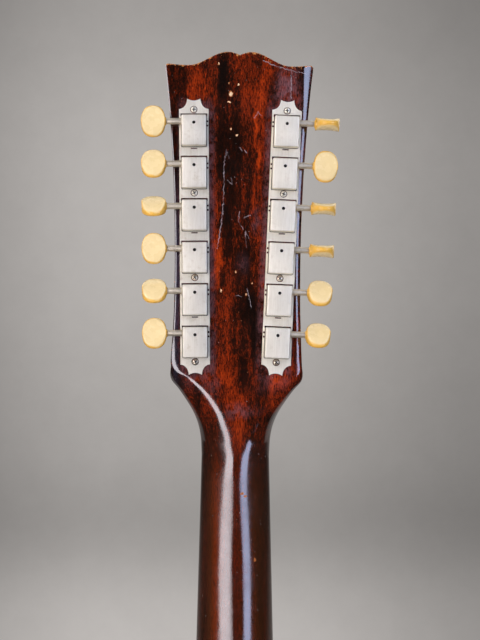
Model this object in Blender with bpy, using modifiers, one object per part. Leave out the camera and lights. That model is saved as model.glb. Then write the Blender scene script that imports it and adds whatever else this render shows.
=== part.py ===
"""Twelve-string electric guitar, as separate named pieces in metres, +Z up.

The origin is at the nut, on the plane where the fingerboard is glued to the neck.
The neck runs down along -Z, the strings face -Y and the back of the guitar faces +Y.
Seen from the front with the headstock up, the bass side is -X and the treble side +X.
"""

import math

import bmesh
import bpy
from mathutils import Matrix, Vector

# Strings and scale
SCALE_LENGTH = 0.62865
COURSES = 6
NUT_COURSE_PITCH = 0.0068
BRIDGE_COURSE_PITCH = 0.0104
NUT_PAIR_GAP = 0.0020
BRIDGE_PAIR_GAP = 0.0026
STRING_RADII = (
    (0.00058, 0.00033),
    (0.00046, 0.00022),
    (0.00033, 0.00015),
    (0.00022, 0.00012),
    (0.00017, 0.00017),
    (0.00013, 0.00013),
)
SEAT_GAP = 0.0003
GLUE_LINE = 0.0001

# Neck
NUT_WIDTH = 0.0413
NECK_WIDTH_AT_TWELFTH = 0.0516
NECK_DEPTH_AT_NUT = 0.0155
NECK_DEPTH_AT_TWELFTH = 0.0185
NECK_EDGE = 0.0015
NUT_BLEND_LENGTH = 0.0500
HEEL_FRET = 20
HEEL_DEPTH = 0.0440
HEEL_LENGTH = 0.0360
TENON_DEPTH = 0.0280

# Headstock, in its own tilted frame: x across, y towards the back, z up along the face
HEADSTOCK_ANGLE = math.radians(17.0)
HEADSTOCK_THICKNESS = 0.0145
HEADSTOCK_LENGTH = 0.2322
CROWN_HEIGHT = 0.0085
CROWN_PEAK = 0.0068
CROWN_FOOT = 0.0315
CROWN_DIP = 0.0020
BLANK_HALF_WIDTH = 0.0320
VENEER_THICKNESS = 0.0015
HEADSTOCK_HALF_WIDTHS = (
    (0.0000, 0.02085),
    (0.0040, 0.02105),
    (0.0080, 0.02150),
    (0.0120, 0.02225),
    (0.0160, 0.02340),
    (0.0200, 0.02495),
    (0.0240, 0.02700),
    (0.0285, 0.02980),
    (0.0330, 0.03280),
    (0.0370, 0.03570),
    (0.0400, 0.03830),
    (0.0425, 0.03985),
    (0.0455, 0.04020),
    (0.0510, 0.03965),
    (0.0670, 0.03890),
    (0.0900, 0.03812),
    (0.1100, 0.03800),
    (0.1300, 0.03823),
    (0.1600, 0.03920),
    (0.1900, 0.04098),
    (0.2150, 0.04309),
    (0.2322, 0.04500),
)
# Share of the half width that is flat at the back, and of the depth that is a square side
BACK_FLAT_SHARES = ((0.0, 0.20), (0.013, 0.42), (0.022, 0.60), (0.031, 0.76), (0.038, 0.88), (0.046, 0.96))
SIDE_SHARES = ((0.0, 0.10), (0.013, 0.16), (0.022, 0.28), (0.031, 0.46), (0.038, 0.70), (0.046, 0.89))

# Fingerboard and frets
FRETS = 22
FINGERBOARD_THICKNESS = 0.0060
FINGERBOARD_RADIUS = 0.3048
FINGERBOARD_OVERRUN = 0.0070
FRET_HEIGHT = 0.0011
FRET_WIDTH = 0.0024

# Nut
NUT_THICKNESS = 0.0050
NUT_SLOT_BOTTOM = 0.0076
NUT_SLOT_DEPTH = 0.0009
NUT_SLOT_CLEARANCE = 0.0003

# Tuners: two strips of six, each with a post row that leans out towards the crown
TUNERS_PER_SIDE = 6
TUNER_PITCH = 0.0254
POST_ROW_CENTRE_Z = 0.1257
POST_ROW_CENTRE_X = 0.0262
POST_ROW_LEAN = math.radians(1.42)
# Both rows lean a little to the bass side as well, as the strips of the photo do
POST_ROW_SKEW = math.radians(-0.49)
POST_RADIUS = 0.0030
POST_HEIGHT = 0.0110
POST_WAIST_RADIUS = 0.0024
STRING_HOLE_HEIGHT = 0.0050
POST_BORE_CLEARANCE = 0.0004
GEAR_TEETH = 14
GEAR_RADIUS = 0.0055
GEAR_TOOTH_DEPTH = 0.0010
GEAR_THICKNESS = 0.0028
WORM_RADIUS = 0.0024
WORM_LENGTH = 0.0090
WORM_GEAR_GAP = 0.0003
SHAFT_RADIUS = 0.0017
SHAFT_TIP_RADIUS = 0.0011
SHAFT_HEIGHT = 0.0040
PLATE_THICKNESS = 0.0008
PLATE_HALF_WIDTH = 0.0089
PLATE_TOP_REACH = 0.0218
PLATE_BOTTOM_REACH = 0.0165
PLATE_TIP_HALF_WIDTH = 0.0040
PLATE_SCALLOP = 0.0057
COVER_WIDTH = 0.0149
COVER_LENGTH = 0.0185
COVER_HEIGHT = 0.0074
COVER_WALL = 0.0006
COVER_ABOVE_POST = 0.00265
COVER_ROUND = 0.0006
OIL_HOLE_RADIUS = 0.0009
OIL_HOLE_BELOW_SHAFT = 0.0010
BUTTON_START = 0.0170
BUTTON_LENGTH = 0.0146
BUTTON_HALF_HEIGHT = 0.0096
BUTTON_HALF_THICKNESS = 0.0032
BUTTON_END_FLARE = 0.0008
# How far each button stands turned at rest, in degrees, from the crown to the nut
TREBLE_BUTTON_TURNS = (4.0, 25.0, 52.0, 12.0, 43.0, 18.0)
BASS_BUTTON_TURNS = (88.0, 3.0, 86.0, -87.0, 39.0, 44.0)

# Body, down from the neck joint
BODY_JOINT_GAP = 0.0013
BODY_LENGTH = 0.3850
BODY_HALF_WIDTH = 0.1715
BODY_EDGE_Y = 0.0095
BODY_BACK_Y = 0.0495
ARCH_HEIGHT = 0.0080
ARCH_WIDTH = 0.0450
ARCH_FLAT_RIM = 0.0060
BODY_BACK_ROUND = 0.0060
BODY_POINTS = 84
BODY_CENTRE_SHARE = 0.50
# Shares of the half width, and of the length above the tail
BODY_OUTLINE = (
    (0.000, 0.000),
    (0.362, 0.010),
    (0.717, 0.070),
    (0.945, 0.184),
    (1.000, 0.317),
    (0.910, 0.478),
    (0.735, 0.626),
    (0.676, 0.725),
    (0.723, 0.829),
    (0.776, 0.925),
    (0.764, 1.023),
    (0.671, 1.091),
    (0.560, 1.107),
    (0.467, 1.075),
    (0.397, 1.021),
    (0.315, 0.982),
    (0.222, 0.979),
    (0.140, 0.995),
    (0.000, 1.000),
)
# The arch runs on beside the neck, so it is measured from these points there, not from the edge
NECK_JOINT_ARCH = ((0.280, 1.031), (0.233, 1.096), (0.000, 1.109))

# Hardware on the body
BRIDGE_HALF_LENGTH = 0.0440
BRIDGE_HALF_WIDTH = 0.0060
BRIDGE_BAR_HEIGHT = 0.0060
BRIDGE_POST_X = 0.0375
BRIDGE_POST_RADIUS = 0.0028
THUMBWHEEL_RADIUS = 0.0070
THUMBWHEEL_THICKNESS = 0.0020
SADDLE_LENGTH = 0.0086
SADDLE_HALF_WIDTH = 0.0022
STRING_RISE_AT_BRIDGE = 0.0112
TAILPIECE_BEHIND_BRIDGE = 0.0430
TAILPIECE_HALF_LENGTH = 0.0500
TAILPIECE_RADIUS = 0.0060
TAILPIECE_LIFT = 0.0012
TAILPIECE_STUD_X = 0.0415
TAILPIECE_STUD_RADIUS = 0.0065
NECK_PICKUP_TO_BOARD = 0.0030
BRIDGE_PICKUP_TO_BRIDGE = 0.0316
PICKUP_HALF_LENGTH = 0.0345
PICKUP_HALF_WIDTH = 0.0190
PICKUP_TOP = 0.0068
PICKUP_DEPTH = 0.0200
PICKUP_RING_HALF_LENGTH = 0.0455
PICKUP_RING_HALF_WIDTH = 0.0228
PICKUP_RING_HEIGHT = 0.0055
PICKGUARD_THICKNESS = 0.0025
PICKGUARD_HEIGHT = 0.0046
PICKGUARD_WIDTH = 0.0420
PICKGUARD_TO_PICKUPS = 0.0025
# Shares of its width outwards from the pickup rings, and of the pickups' whole reach downwards
PICKGUARD_OUTLINE = (
    (0.00, 0.01),
    (0.28, 0.05),
    (0.57, 0.26),
    (0.88, 0.57),
    (1.00, 0.89),
    (0.48, 1.00),
    (0.00, 1.00),
    (0.00, 0.68),
    (0.00, 0.34),
)
PICKGUARD_SPACERS = ((0.26, 0.21), (0.57, 0.86))
PICKGUARD_SPACER_RADIUS = 0.0030
PICKUP_SIDE_GAP = 0.0006
# The controls lie round one point, set in from the body's widest side and up from its tail
CONTROL_INSET = 0.0715
CONTROL_RISE = 0.1250
KNOB_OFFSETS = {
    "neck_volume_knob": (-0.0170, 0.0260),
    "neck_tone_knob": (-0.0240, -0.0380),
    "bridge_volume_knob": (0.0200, 0.0020),
    "bridge_tone_knob": (0.0080, -0.0560),
}
KNOB_RADIUS = 0.0125
KNOB_TOP_RADIUS = 0.0090
KNOB_HEIGHT = 0.0150
KNOB_SHAFT_RADIUS = 0.0030
KNOB_SHAFT_LENGTH = 0.0160
KNOB_HOLE_CLEARANCE = 0.0003
SELECTOR_OFFSET = (0.0060, 0.0660)
SELECTOR_REACH = 0.0170
SELECTOR_ROD_RADIUS = 0.0016
SELECTOR_BALL_RADIUS = 0.0040
SELECTOR_TIP_RADIUS = 0.0045
CAVITY_OFFSETS = (
    (-0.0420, 0.0360),
    (-0.0100, 0.0840),
    (0.0240, 0.0840),
    (0.0430, 0.0040),
    (0.0280, -0.0760),
    (-0.0120, -0.0800),
    (-0.0440, -0.0500),
)
CAVITY_TOP_WALL = 0.0100
CONTROL_COVER_THICKNESS = 0.0020
CONTROL_COVER_LEDGE = 0.0050
JACK_RISE = 0.1170
JACK_SEAT_CUT = 0.0005
JACK_PLATE_HALF_SIZE = 0.0140
JACK_PLATE_THICKNESS = 0.0015
JACK_BUSH_RADIUS = 0.0055
JACK_BORE_RADIUS = 0.0034
JACK_BARREL_LENGTH = 0.0270
JACK_BARREL_RADIUS = 0.0060
JACK_BUSH_REACH = 0.0030
STRAP_BUTTON_RADIUS = 0.0070
STRAP_BUTTON_NECK_RADIUS = 0.0045
STRAP_BUTTON_LENGTH = 0.0115
HEEL_STRAP_BUTTON_DROP = 0.0300
TRUSS_COVER_OUTLINE = (
    (-0.0105, 0.0040),
    (0.0105, 0.0040),
    (0.0100, 0.0110),
    (0.0068, 0.0180),
    (0.0060, 0.0260),
    (0.0042, 0.0330),
    (0.0000, 0.0370),
    (-0.0042, 0.0330),
    (-0.0060, 0.0260),
    (-0.0068, 0.0180),
    (-0.0100, 0.0110),
)
TRUSS_COVER_THICKNESS = 0.0016

# How far a cutter runs past the face it cuts through, and where those of the carved top start
CUT_PAST = 0.0040
TOP_CUT_START = -0.0160
SIDES = {"treble": 1, "bass": -1}


# Shared shapes


def clear_scene():
    """Removes every object the file opened with."""
    for obj in list(bpy.data.objects):
        bpy.data.objects.remove(obj)


def new_collection(name, hidden=False):
    """A collection under the scene's own."""
    made = bpy.data.collections.new(name)
    made.hide_render = hidden
    bpy.context.scene.collection.children.link(made)
    return made


clear_scene()
PARTS = new_collection("twelve_string_guitar")
CUTTERS = new_collection("cutters", hidden=True)


def finish(name, colour, roughness, metallic=0.0):
    """A Principled material."""
    made = bpy.data.materials.new(name)
    made.use_nodes = True
    shader = made.node_tree.nodes["Principled BSDF"]
    shader.inputs["Base Color"].default_value = (*colour, 1.0)
    shader.inputs["Roughness"].default_value = roughness
    shader.inputs["Metallic"].default_value = metallic
    return made


MAHOGANY = finish("stained_mahogany", (0.115, 0.024, 0.010), 0.22)
ROSEWOOD = finish("rosewood", (0.060, 0.028, 0.016), 0.55)
BLACK_FACE = finish("black_lacquer", (0.012, 0.011, 0.011), 0.20)
BONE = finish("bone", (0.780, 0.720, 0.580), 0.40)
NICKEL = finish("aged_nickel", (0.640, 0.610, 0.530), 0.35, 1.0)
STEEL = finish("string_steel", (0.560, 0.550, 0.530), 0.30, 1.0)
CREAM = finish("cream_plastic", (0.930, 0.740, 0.360), 0.30)
BLACK_PLASTIC = finish("black_plastic", (0.020, 0.019, 0.018), 0.35)
AMBER = finish("amber_plastic", (0.420, 0.200, 0.050), 0.25)


def place(obj, material=None, parent=None, cutter=False):
    """Links an object into its collection, with its material and parent."""
    for old in list(obj.users_collection):
        old.objects.unlink(obj)
    (CUTTERS if cutter else PARTS).objects.link(obj)
    if material is not None and not obj.data.materials:
        obj.data.materials.append(material)
    obj.parent = parent
    if cutter:
        obj.hide_render = True
        obj.display_type = "WIRE"
    return obj


def from_bmesh(name, bm, material=None, parent=None, cutter=False, sharp=35.0):
    """An object from a finished bmesh, shaded smooth with its corners kept sharp."""
    bmesh.ops.recalc_face_normals(bm, faces=bm.faces)
    mesh = bpy.data.meshes.new(name)
    bm.to_mesh(mesh)
    bm.free()
    mesh.shade_smooth()
    mesh.set_sharp_from_angle(angle=math.radians(sharp))
    return place(bpy.data.objects.new(name, mesh), material, parent, cutter)


def loft(rings):
    """A closed bmesh through rings that all have as many points, capped at both ends."""
    bm = bmesh.new()
    rows = [[bm.verts.new(point) for point in ring] for ring in rings]
    count = len(rings[0])
    for lower, upper in zip(rows, rows[1:]):
        for i in range(count):
            j = (i + 1) % count
            bm.faces.new((lower[i], lower[j], upper[j], upper[i]))
    bm.faces.new(list(reversed(rows[0])))
    bm.faces.new(rows[-1])
    return bm


def box(name, low, high, material=None, parent=None, cutter=False, rounding=0.0):
    """A box between two corners, with its edges bevelled by one segment if asked."""
    bm = bmesh.new()
    bmesh.ops.create_cube(bm, size=1.0)
    size = Vector(high) - Vector(low)
    middle = (Vector(high) + Vector(low)) / 2
    bmesh.ops.scale(bm, vec=size, verts=bm.verts)
    bmesh.ops.translate(bm, vec=middle, verts=bm.verts)
    if rounding:
        bmesh.ops.bevel(bm, geom=bm.edges, offset=rounding, segments=1, affect="EDGES")
    return from_bmesh(name, bm, material, parent, cutter)


AXIS_TURNS = {
    "X": Matrix.Rotation(math.radians(90), 4, "Y"),
    "Y": Matrix.Rotation(math.radians(-90), 4, "X"),
    "Z": Matrix.Identity(4),
}


def rod(name, start, length, radius, axis, material=None, parent=None, cutter=False, sides=12, tip=None):
    """A cylinder, or a cone if a tip radius is given, from start along +axis."""
    bm = bmesh.new()
    bmesh.ops.create_cone(
        bm,
        cap_ends=True,
        segments=sides,
        radius1=radius,
        radius2=radius if tip is None else tip,
        depth=length,
    )
    bmesh.ops.translate(bm, vec=(0, 0, length / 2), verts=bm.verts)
    bmesh.ops.transform(bm, matrix=Matrix.Translation(start) @ AXIS_TURNS[axis], verts=bm.verts)
    return from_bmesh(name, bm, material, parent, cutter)


FACING = {
    "front": (math.radians(90), 0, 0),
    "back": (math.radians(-90), 0, 0),
    "down": (math.radians(180), 0, 0),
}


def turned(name, profile, facing, location, material, sides=16):
    """A turned solid: (radius, height) pairs from top to bottom, standing out in the given direction."""
    bm = bmesh.new()
    points = [bm.verts.new((radius, 0, height)) for radius, height in profile]
    for upper, lower in zip(points, points[1:]):
        bm.edges.new((upper, lower))
    mesh = bpy.data.meshes.new(name)
    bm.to_mesh(mesh)
    bm.free()
    obj = place(bpy.data.objects.new(name, mesh), material)
    screw = obj.modifiers.new("turn", "SCREW")
    screw.steps = sides
    screw.render_steps = sides
    screw.use_merge_vertices = True
    screw.merge_threshold = 0.00001
    obj.rotation_euler = FACING[facing]
    obj.location = location
    return obj


def plate(name, outline, low, high, material=None, parent=None, cutter=False, curved=True):
    """A flat outline of (x, z) points, filled and thickened from y low to y high."""
    curve = bpy.data.curves.new(name, "CURVE")
    curve.dimensions = "2D"
    curve.fill_mode = "BOTH"
    curve.extrude = (high - low) / 2
    curve.resolution_u = 3
    spline = curve.splines.new("BEZIER" if curved else "POLY")
    points = spline.bezier_points if curved else spline.points
    points.add(len(outline) - 1)
    for point, (x, z) in zip(points, outline):
        point.co = (x, z, 0) if curved else (x, z, 0, 1)
        if curved:
            point.handle_left_type = point.handle_right_type = "AUTO"
    spline.use_cyclic_u = True
    drawn = bpy.data.objects.new(name + "_curve", curve)
    PARTS.objects.link(drawn)
    # The curve lies in its own XY plane, which stands up as XZ with the depth along -Y
    drawn.matrix_world = Matrix.Translation((0, (low + high) / 2, 0)) @ Matrix.Rotation(
        math.radians(90), 4, "X"
    )
    bpy.context.view_layer.update()
    evaluated = drawn.evaluated_get(bpy.context.evaluated_depsgraph_get())
    mesh = bpy.data.meshes.new_from_object(evaluated)
    mesh.transform(drawn.matrix_world)
    bpy.data.objects.remove(drawn)
    bm = bmesh.new()
    bm.from_mesh(mesh)
    bpy.data.meshes.remove(mesh)
    bmesh.ops.remove_doubles(bm, verts=bm.verts, dist=0.00001)
    return from_bmesh(name, bm, material, parent, cutter)


def combine(target, tool, operation="DIFFERENCE"):
    """Cuts tool from target, or joins it on, with the exact solver."""
    boolean = target.modifiers.new(tool.name, "BOOLEAN")
    boolean.operation = operation
    boolean.solver = "EXACT"
    boolean.object = tool
    return target


def table_value(table, x):
    """A smooth value from (x, value) pairs, which never overshoots between two pairs."""
    if x <= table[0][0]:
        return table[0][1]
    if x >= table[-1][0]:
        return table[-1][1]
    k = max(i for i, (place_x, _) in enumerate(table[:-1]) if place_x <= x)
    steps = [(b[1] - a[1]) / (b[0] - a[0]) for a, b in zip(table, table[1:])]

    def slope(i):
        if i == 0:
            return steps[0]
        if i == len(steps):
            return steps[-1]
        before, after = steps[i - 1], steps[i]
        return 0.0 if before * after <= 0 else 2 * before * after / (before + after)

    span = table[k + 1][0] - table[k][0]
    t = (x - table[k][0]) / span
    return (
        (2 * t**3 - 3 * t**2 + 1) * table[k][1]
        + (t**3 - 2 * t**2 + t) * span * slope(k)
        + (3 * t**2 - 2 * t**3) * table[k + 1][1]
        + (t**3 - t**2) * span * slope(k + 1)
    )


# Frames that pieces hang from


def empty(name, parent=None, location=(0, 0, 0), rotation=(0, 0, 0)):
    """A frame for other objects, which has no shape itself."""
    made = bpy.data.objects.new(name, None)
    PARTS.objects.link(made)
    made.parent = parent
    made.location = location
    made.rotation_euler = rotation
    return made


HEADSTOCK_FRAME = empty(
    "headstock_frame", location=(0, 0, NUT_THICKNESS), rotation=(-HEADSTOCK_ANGLE, 0, 0)
)
STRIP_FRAMES = {
    side: empty(
        f"{side}_strip_frame",
        HEADSTOCK_FRAME,
        (sign * POST_ROW_CENTRE_X, HEADSTOCK_THICKNESS, POST_ROW_CENTRE_Z),
        (0, sign * POST_ROW_LEAN + POST_ROW_SKEW, 0),
    )
    for side, sign in SIDES.items()
}


def headstock_matrix():
    """From the headstock's frame to the guitar's."""
    return Matrix.Translation((0, 0, NUT_THICKNESS)) @ Matrix.Rotation(-HEADSTOCK_ANGLE, 4, "X")


def strip_matrix(side):
    """From one tuner strip's frame to the headstock's."""
    sign = SIDES[side]
    centre = (sign * POST_ROW_CENTRE_X, HEADSTOCK_THICKNESS, POST_ROW_CENTRE_Z)
    return Matrix.Translation(centre) @ Matrix.Rotation(sign * POST_ROW_LEAN + POST_ROW_SKEW, 4, "Y")


def post_z(index):
    """Height of a post in its strip's frame, counted from the crown."""
    return ((TUNERS_PER_SIDE - 1) / 2 - index) * TUNER_PITCH


# Neck and headstock


def fret_distance(fret):
    """From the nut to a fret along the scale."""
    return SCALE_LENGTH * (1 - 2 ** (-fret / 12))


TWELFTH = fret_distance(12)
HEEL = fret_distance(HEEL_FRET)
BOARD_END = fret_distance(FRETS) + FINGERBOARD_OVERRUN
BODY_JOINT_Z = -HEEL - BODY_JOINT_GAP
BODY_TAIL_Z = BODY_JOINT_Z - BODY_LENGTH
BODY_SIDE_Y = (BODY_EDGE_Y + BODY_BACK_Y) / 2
BRIDGE_Z = -SCALE_LENGTH
TAILPIECE_Z = BRIDGE_Z - TAILPIECE_BEHIND_BRIDGE
NECK_PICKUP_Z = -BOARD_END - NECK_PICKUP_TO_BOARD - PICKUP_RING_HALF_WIDTH
BRIDGE_PICKUP_Z = BRIDGE_Z + BRIDGE_PICKUP_TO_BRIDGE
CONTROL_CENTRE = Vector((BODY_HALF_WIDTH - CONTROL_INSET, BODY_TAIL_Z + CONTROL_RISE))
JACK_Z = BODY_TAIL_Z + JACK_RISE
HEEL_STRAP_BUTTON_Z = BODY_JOINT_Z - HEEL_STRAP_BUTTON_DROP


def neck_half_width(distance):
    """Half the width of neck and fingerboard at a distance from the nut."""
    growth = (NECK_WIDTH_AT_TWELFTH - NUT_WIDTH) / TWELFTH
    return (NUT_WIDTH + growth * distance) / 2


def neck_depth(distance):
    """Depth of the neck's wood at a distance from the nut, with the heel's curve."""
    slope = (NECK_DEPTH_AT_TWELFTH - NECK_DEPTH_AT_NUT) / TWELFTH
    plain = NECK_DEPTH_AT_NUT + slope * distance
    into_heel = (distance - (HEEL - HEEL_LENGTH)) / HEEL_LENGTH
    if into_heel <= 0:
        return plain
    return plain + (HEEL_DEPTH - plain) * min(into_heel, 1.0) ** 2.6


def section(half_width, depth, flat, side, roundness=2.0, points=4):
    """Points (x, y) round a section: flat front at y 0, square sides, then a curve to a flat back."""
    curve = []
    for k in range(points + 1):
        angle = math.radians(90) * k / points
        x = flat + (half_width - flat) * math.cos(angle) ** (2 / roundness)
        y = side + (depth - side) * math.sin(angle) ** (2 / roundness)
        curve.append((x, y))
    left = [(-x, y) for x, y in reversed(curve)]
    return [(half_width, 0.0), *curve, *left, (-half_width, 0.0)]


def headstock_half_width(height):
    """Half the width of the headstock at a height above the nut."""
    return table_value(HEADSTOCK_HALF_WIDTHS, height)


def headstock_section(height):
    """The section of neck or headstock at a height above the nut."""
    half_width = headstock_half_width(height)
    flat = table_value(BACK_FLAT_SHARES, height) * half_width
    side = table_value(SIDE_SHARES, height) * HEADSTOCK_THICKNESS
    return section(half_width, HEADSTOCK_THICKNESS, flat, side)


def neck_rings():
    """Rings from the end of the tenon up to past the crown."""
    rings = []
    tenon_half_width = neck_half_width(BOARD_END)
    shoulder = HEEL + SEAT_GAP
    for distance in (BOARD_END, shoulder):
        flat = tenon_half_width - NECK_EDGE
        ring = section(neck_half_width(distance), TENON_DEPTH, flat, TENON_DEPTH - NECK_EDGE)
        rings.append([(x, y, -distance) for x, y in ring])
    heel_stops = [HEEL - HEEL_LENGTH * share for share in (0.0, 0.15, 0.35, 0.6, 1.0)]
    neck_stops = [HEEL * share for share in (0.75, 0.5, 0.25, 0.1)]
    for distance in heel_stops + neck_stops + [NUT_BLEND_LENGTH / 4, 0.0]:
        half_width = neck_half_width(distance)
        near_nut = max(0.0, 1 - distance / NUT_BLEND_LENGTH)
        flat = half_width * (0.05 + 0.12 * near_nut)
        ring = section(half_width, neck_depth(distance), flat, NECK_EDGE, roundness=2.1)
        rings.append([(x, y, -distance) for x, y in ring])
    matrix = headstock_matrix()
    heights = [height for height, _ in HEADSTOCK_HALF_WIDTHS[1:]]
    heights.append(HEADSTOCK_LENGTH + CROWN_HEIGHT + CUT_PAST)
    for height in heights:
        ring = headstock_section(height)
        rings.append([matrix @ Vector((x, y, height)) for x, y in ring])
    return rings


def crown_height(x):
    """Height of the crown's edge above the shoulders at a distance across."""
    x = abs(x)
    if x < CROWN_PEAK:
        return CROWN_HEIGHT - CROWN_DIP * (1 - x / CROWN_PEAK) ** 1.5
    if x < CROWN_FOOT:
        share = (x - CROWN_PEAK) / (CROWN_FOOT - CROWN_PEAK)
        return CROWN_HEIGHT * (1 + math.cos(math.pi * share)) / 2
    lift = (x - CROWN_FOOT) / (HEADSTOCK_HALF_WIDTHS[-1][1] - CROWN_FOOT)
    return 0.0009 * max(0.0, lift) ** 2


def crown_line(half_width, steps):
    """(x, z) points along the crown from one shoulder to the other."""
    xs = [half_width * (2 * k / steps - 1) for k in range(steps + 1)]
    return [(x, HEADSTOCK_LENGTH + crown_height(x)) for x in xs]


def crown_cutter():
    """Everything above the crown, to trim the headstock's wood to it."""
    reach = HEADSTOCK_HALF_WIDTHS[-1][1] + 2 * CUT_PAST
    above = HEADSTOCK_LENGTH + 6 * CUT_PAST
    outline = crown_line(reach, 28) + [(reach, above), (-reach, above)]
    return plate(
        "crown_cutter",
        outline,
        -CUT_PAST,
        HEADSTOCK_THICKNESS + CUT_PAST,
        parent=HEADSTOCK_FRAME,
        cutter=True,
        curved=False,
    )


def post_bore_cutters():
    """A bore for each string post, through the headstock and its face veneer."""
    made = {}
    length = HEADSTOCK_THICKNESS + VENEER_THICKNESS + 2 * CUT_PAST
    for side in SIDES:
        for index in range(TUNERS_PER_SIDE):
            start = (0, CUT_PAST - length, post_z(index))
            name = f"{side}_post_bore_{index + 1}"
            made[side, index] = rod(
                name,
                start,
                length,
                POST_RADIUS + POST_BORE_CLEARANCE,
                "Y",
                parent=STRIP_FRAMES[side],
                cutter=True,
                sides=10,
            )
    return made


def keep_between(bm, low, high):
    """Keeps the slice of a closed bmesh between two planes across X, and closes its cuts."""
    for x, inner in ((low, -1), (high, 1)):
        if x is None:
            continue
        geom = bm.verts[:] + bm.edges[:] + bm.faces[:]
        cut = bmesh.ops.bisect_plane(
            bm, geom=geom, plane_co=(x, 0, 0), plane_no=(inner, 0, 0), clear_outer=True, dist=1e-7
        )
        edges = [e for e in cut["geom_cut"] if isinstance(e, bmesh.types.BMEdge)]
        bmesh.ops.contextual_create(bm, geom=edges)
    bm.normal_update()
    bmesh.ops.triangulate(bm, faces=[f for f in bm.faces if len(f.verts) > 4])
    return bm


def build_neck():
    """One piece of mahogany from the tenon to the crown, and a glued wing on each side of it."""
    rings = neck_rings()
    crown = crown_cutter()
    bores = post_bore_cutters()
    slices = {
        "neck": (-BLANK_HALF_WIDTH, BLANK_HALF_WIDTH),
        "treble_headstock_wing": (BLANK_HALF_WIDTH, None),
        "bass_headstock_wing": (None, -BLANK_HALF_WIDTH),
    }
    for name, (low, high) in slices.items():
        piece = from_bmesh(name, keep_between(loft(rings), low, high), MAHOGANY)
        combine(piece, crown)
        if name == "neck":
            for bore in bores.values():
                combine(piece, bore)
    build_veneer(bores)


def build_veneer(bores):
    """The thin black veneer on the headstock's face."""
    heights = [0.0004] + [height for height, _ in HEADSTOCK_HALF_WIDTHS[1:]]
    right = [(headstock_half_width(height), height) for height in heights]
    left = [(-x, z) for x, z in reversed(right)]
    crown = list(reversed(crown_line(headstock_half_width(HEADSTOCK_LENGTH), 24)))[1:-1]
    veneer = plate(
        "headstock_veneer",
        right + crown + left,
        -VENEER_THICKNESS,
        -GLUE_LINE,
        BLACK_FACE,
        HEADSTOCK_FRAME,
        curved=False,
    )
    for bore in bores.values():
        combine(veneer, bore)


def board_front(x):
    """How far the crowned fingerboard stands out at a distance across."""
    return FINGERBOARD_THICKNESS - x * x / (2 * FINGERBOARD_RADIUS)


def build_fingerboard():
    """The crowned fingerboard, with its frets as ridges across it."""
    stations = [(0.0, 0.0)]
    for fret in range(1, FRETS + 1):
        at = fret_distance(fret)
        half = FRET_WIDTH / 2
        stations += [(at - half, 0.0), (at - half / 2, FRET_HEIGHT)]
        stations += [(at + half / 2, FRET_HEIGHT), (at + half, 0.0)]
    stations.append((BOARD_END, 0.0))
    rings = []
    for distance, rise in stations:
        half_width = neck_half_width(distance)
        ring = [(half_width, -GLUE_LINE, -distance), (-half_width, -GLUE_LINE, -distance)]
        for share in (-1.0, -0.5, 0.0, 0.5, 1.0):
            x = share * half_width
            ring.append((x, -board_front(x) - rise, -distance))
        rings.append(ring)
    from_bmesh("fingerboard", loft(rings), ROSEWOOD, sharp=20.0)


# Strings and what they run over


def string_x(course, member, course_pitch, pair_gap):
    """Distance across of one string: courses run from bass to treble, member 0 is nearer the bass."""
    centre = (course - (COURSES - 1) / 2) * course_pitch
    return centre + (member - 0.5) * pair_gap


def nut_string_front(x):
    """How far the underside of a string stands out at the nut."""
    return NUT_SLOT_BOTTOM + SEAT_GAP - x * x / (2 * FINGERBOARD_RADIUS)


def bridge_string_front(x):
    """How far the underside of a string stands out at the bridge."""
    return STRING_RISE_AT_BRIDGE - x * x / (2 * FINGERBOARD_RADIUS)


def build_nut():
    """The slotted bone nut, with one slot for each string."""
    half_width = NUT_WIDTH / 2
    outline = [(-half_width, 0.0), (-half_width, board_front(half_width))]
    for course in range(COURSES):
        for member in range(2):
            x = string_x(course, member, NUT_COURSE_PITCH, NUT_PAIR_GAP)
            half_slot = STRING_RADII[course][member] + NUT_SLOT_CLEARANCE
            floor = nut_string_front(x) - SEAT_GAP
            top = floor + NUT_SLOT_DEPTH
            outline += [(x - half_slot, top), (x - half_slot, floor)]
            outline += [(x + half_slot, floor), (x + half_slot, top)]
    outline += [(half_width, board_front(half_width)), (half_width, 0.0)]
    bm = loft(
        [[(x, -front, height) for x, front in outline] for height in (GLUE_LINE, NUT_THICKNESS - GLUE_LINE)]
    )
    from_bmesh("nut", bm, BONE)


def string_end(side, index, reach):
    """Where a string meets its post's waist, in the guitar's frame, at a reach from the post's axis.

    It passes on the post's inner side. The post nearest the nut takes its string head on instead,
    which leaves room for the next one.
    """
    nearest = index == TUNERS_PER_SIDE - 1
    across = 0 if nearest else -SIDES[side] * reach
    height = post_z(index) - (reach if nearest else 0)
    local = Vector((across, -HEADSTOCK_THICKNESS - VENEER_THICKNESS - STRING_HOLE_HEIGHT, height))
    return headstock_matrix() @ strip_matrix(side) @ local


def string_post(course, member):
    """(side, index) of the post a string winds on: outer courses take the posts nearest the nut."""
    order = course * 2 + member
    per_side = TUNERS_PER_SIDE
    if order < per_side:
        return "bass", per_side - 1 - order
    return "treble", order - per_side


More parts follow.
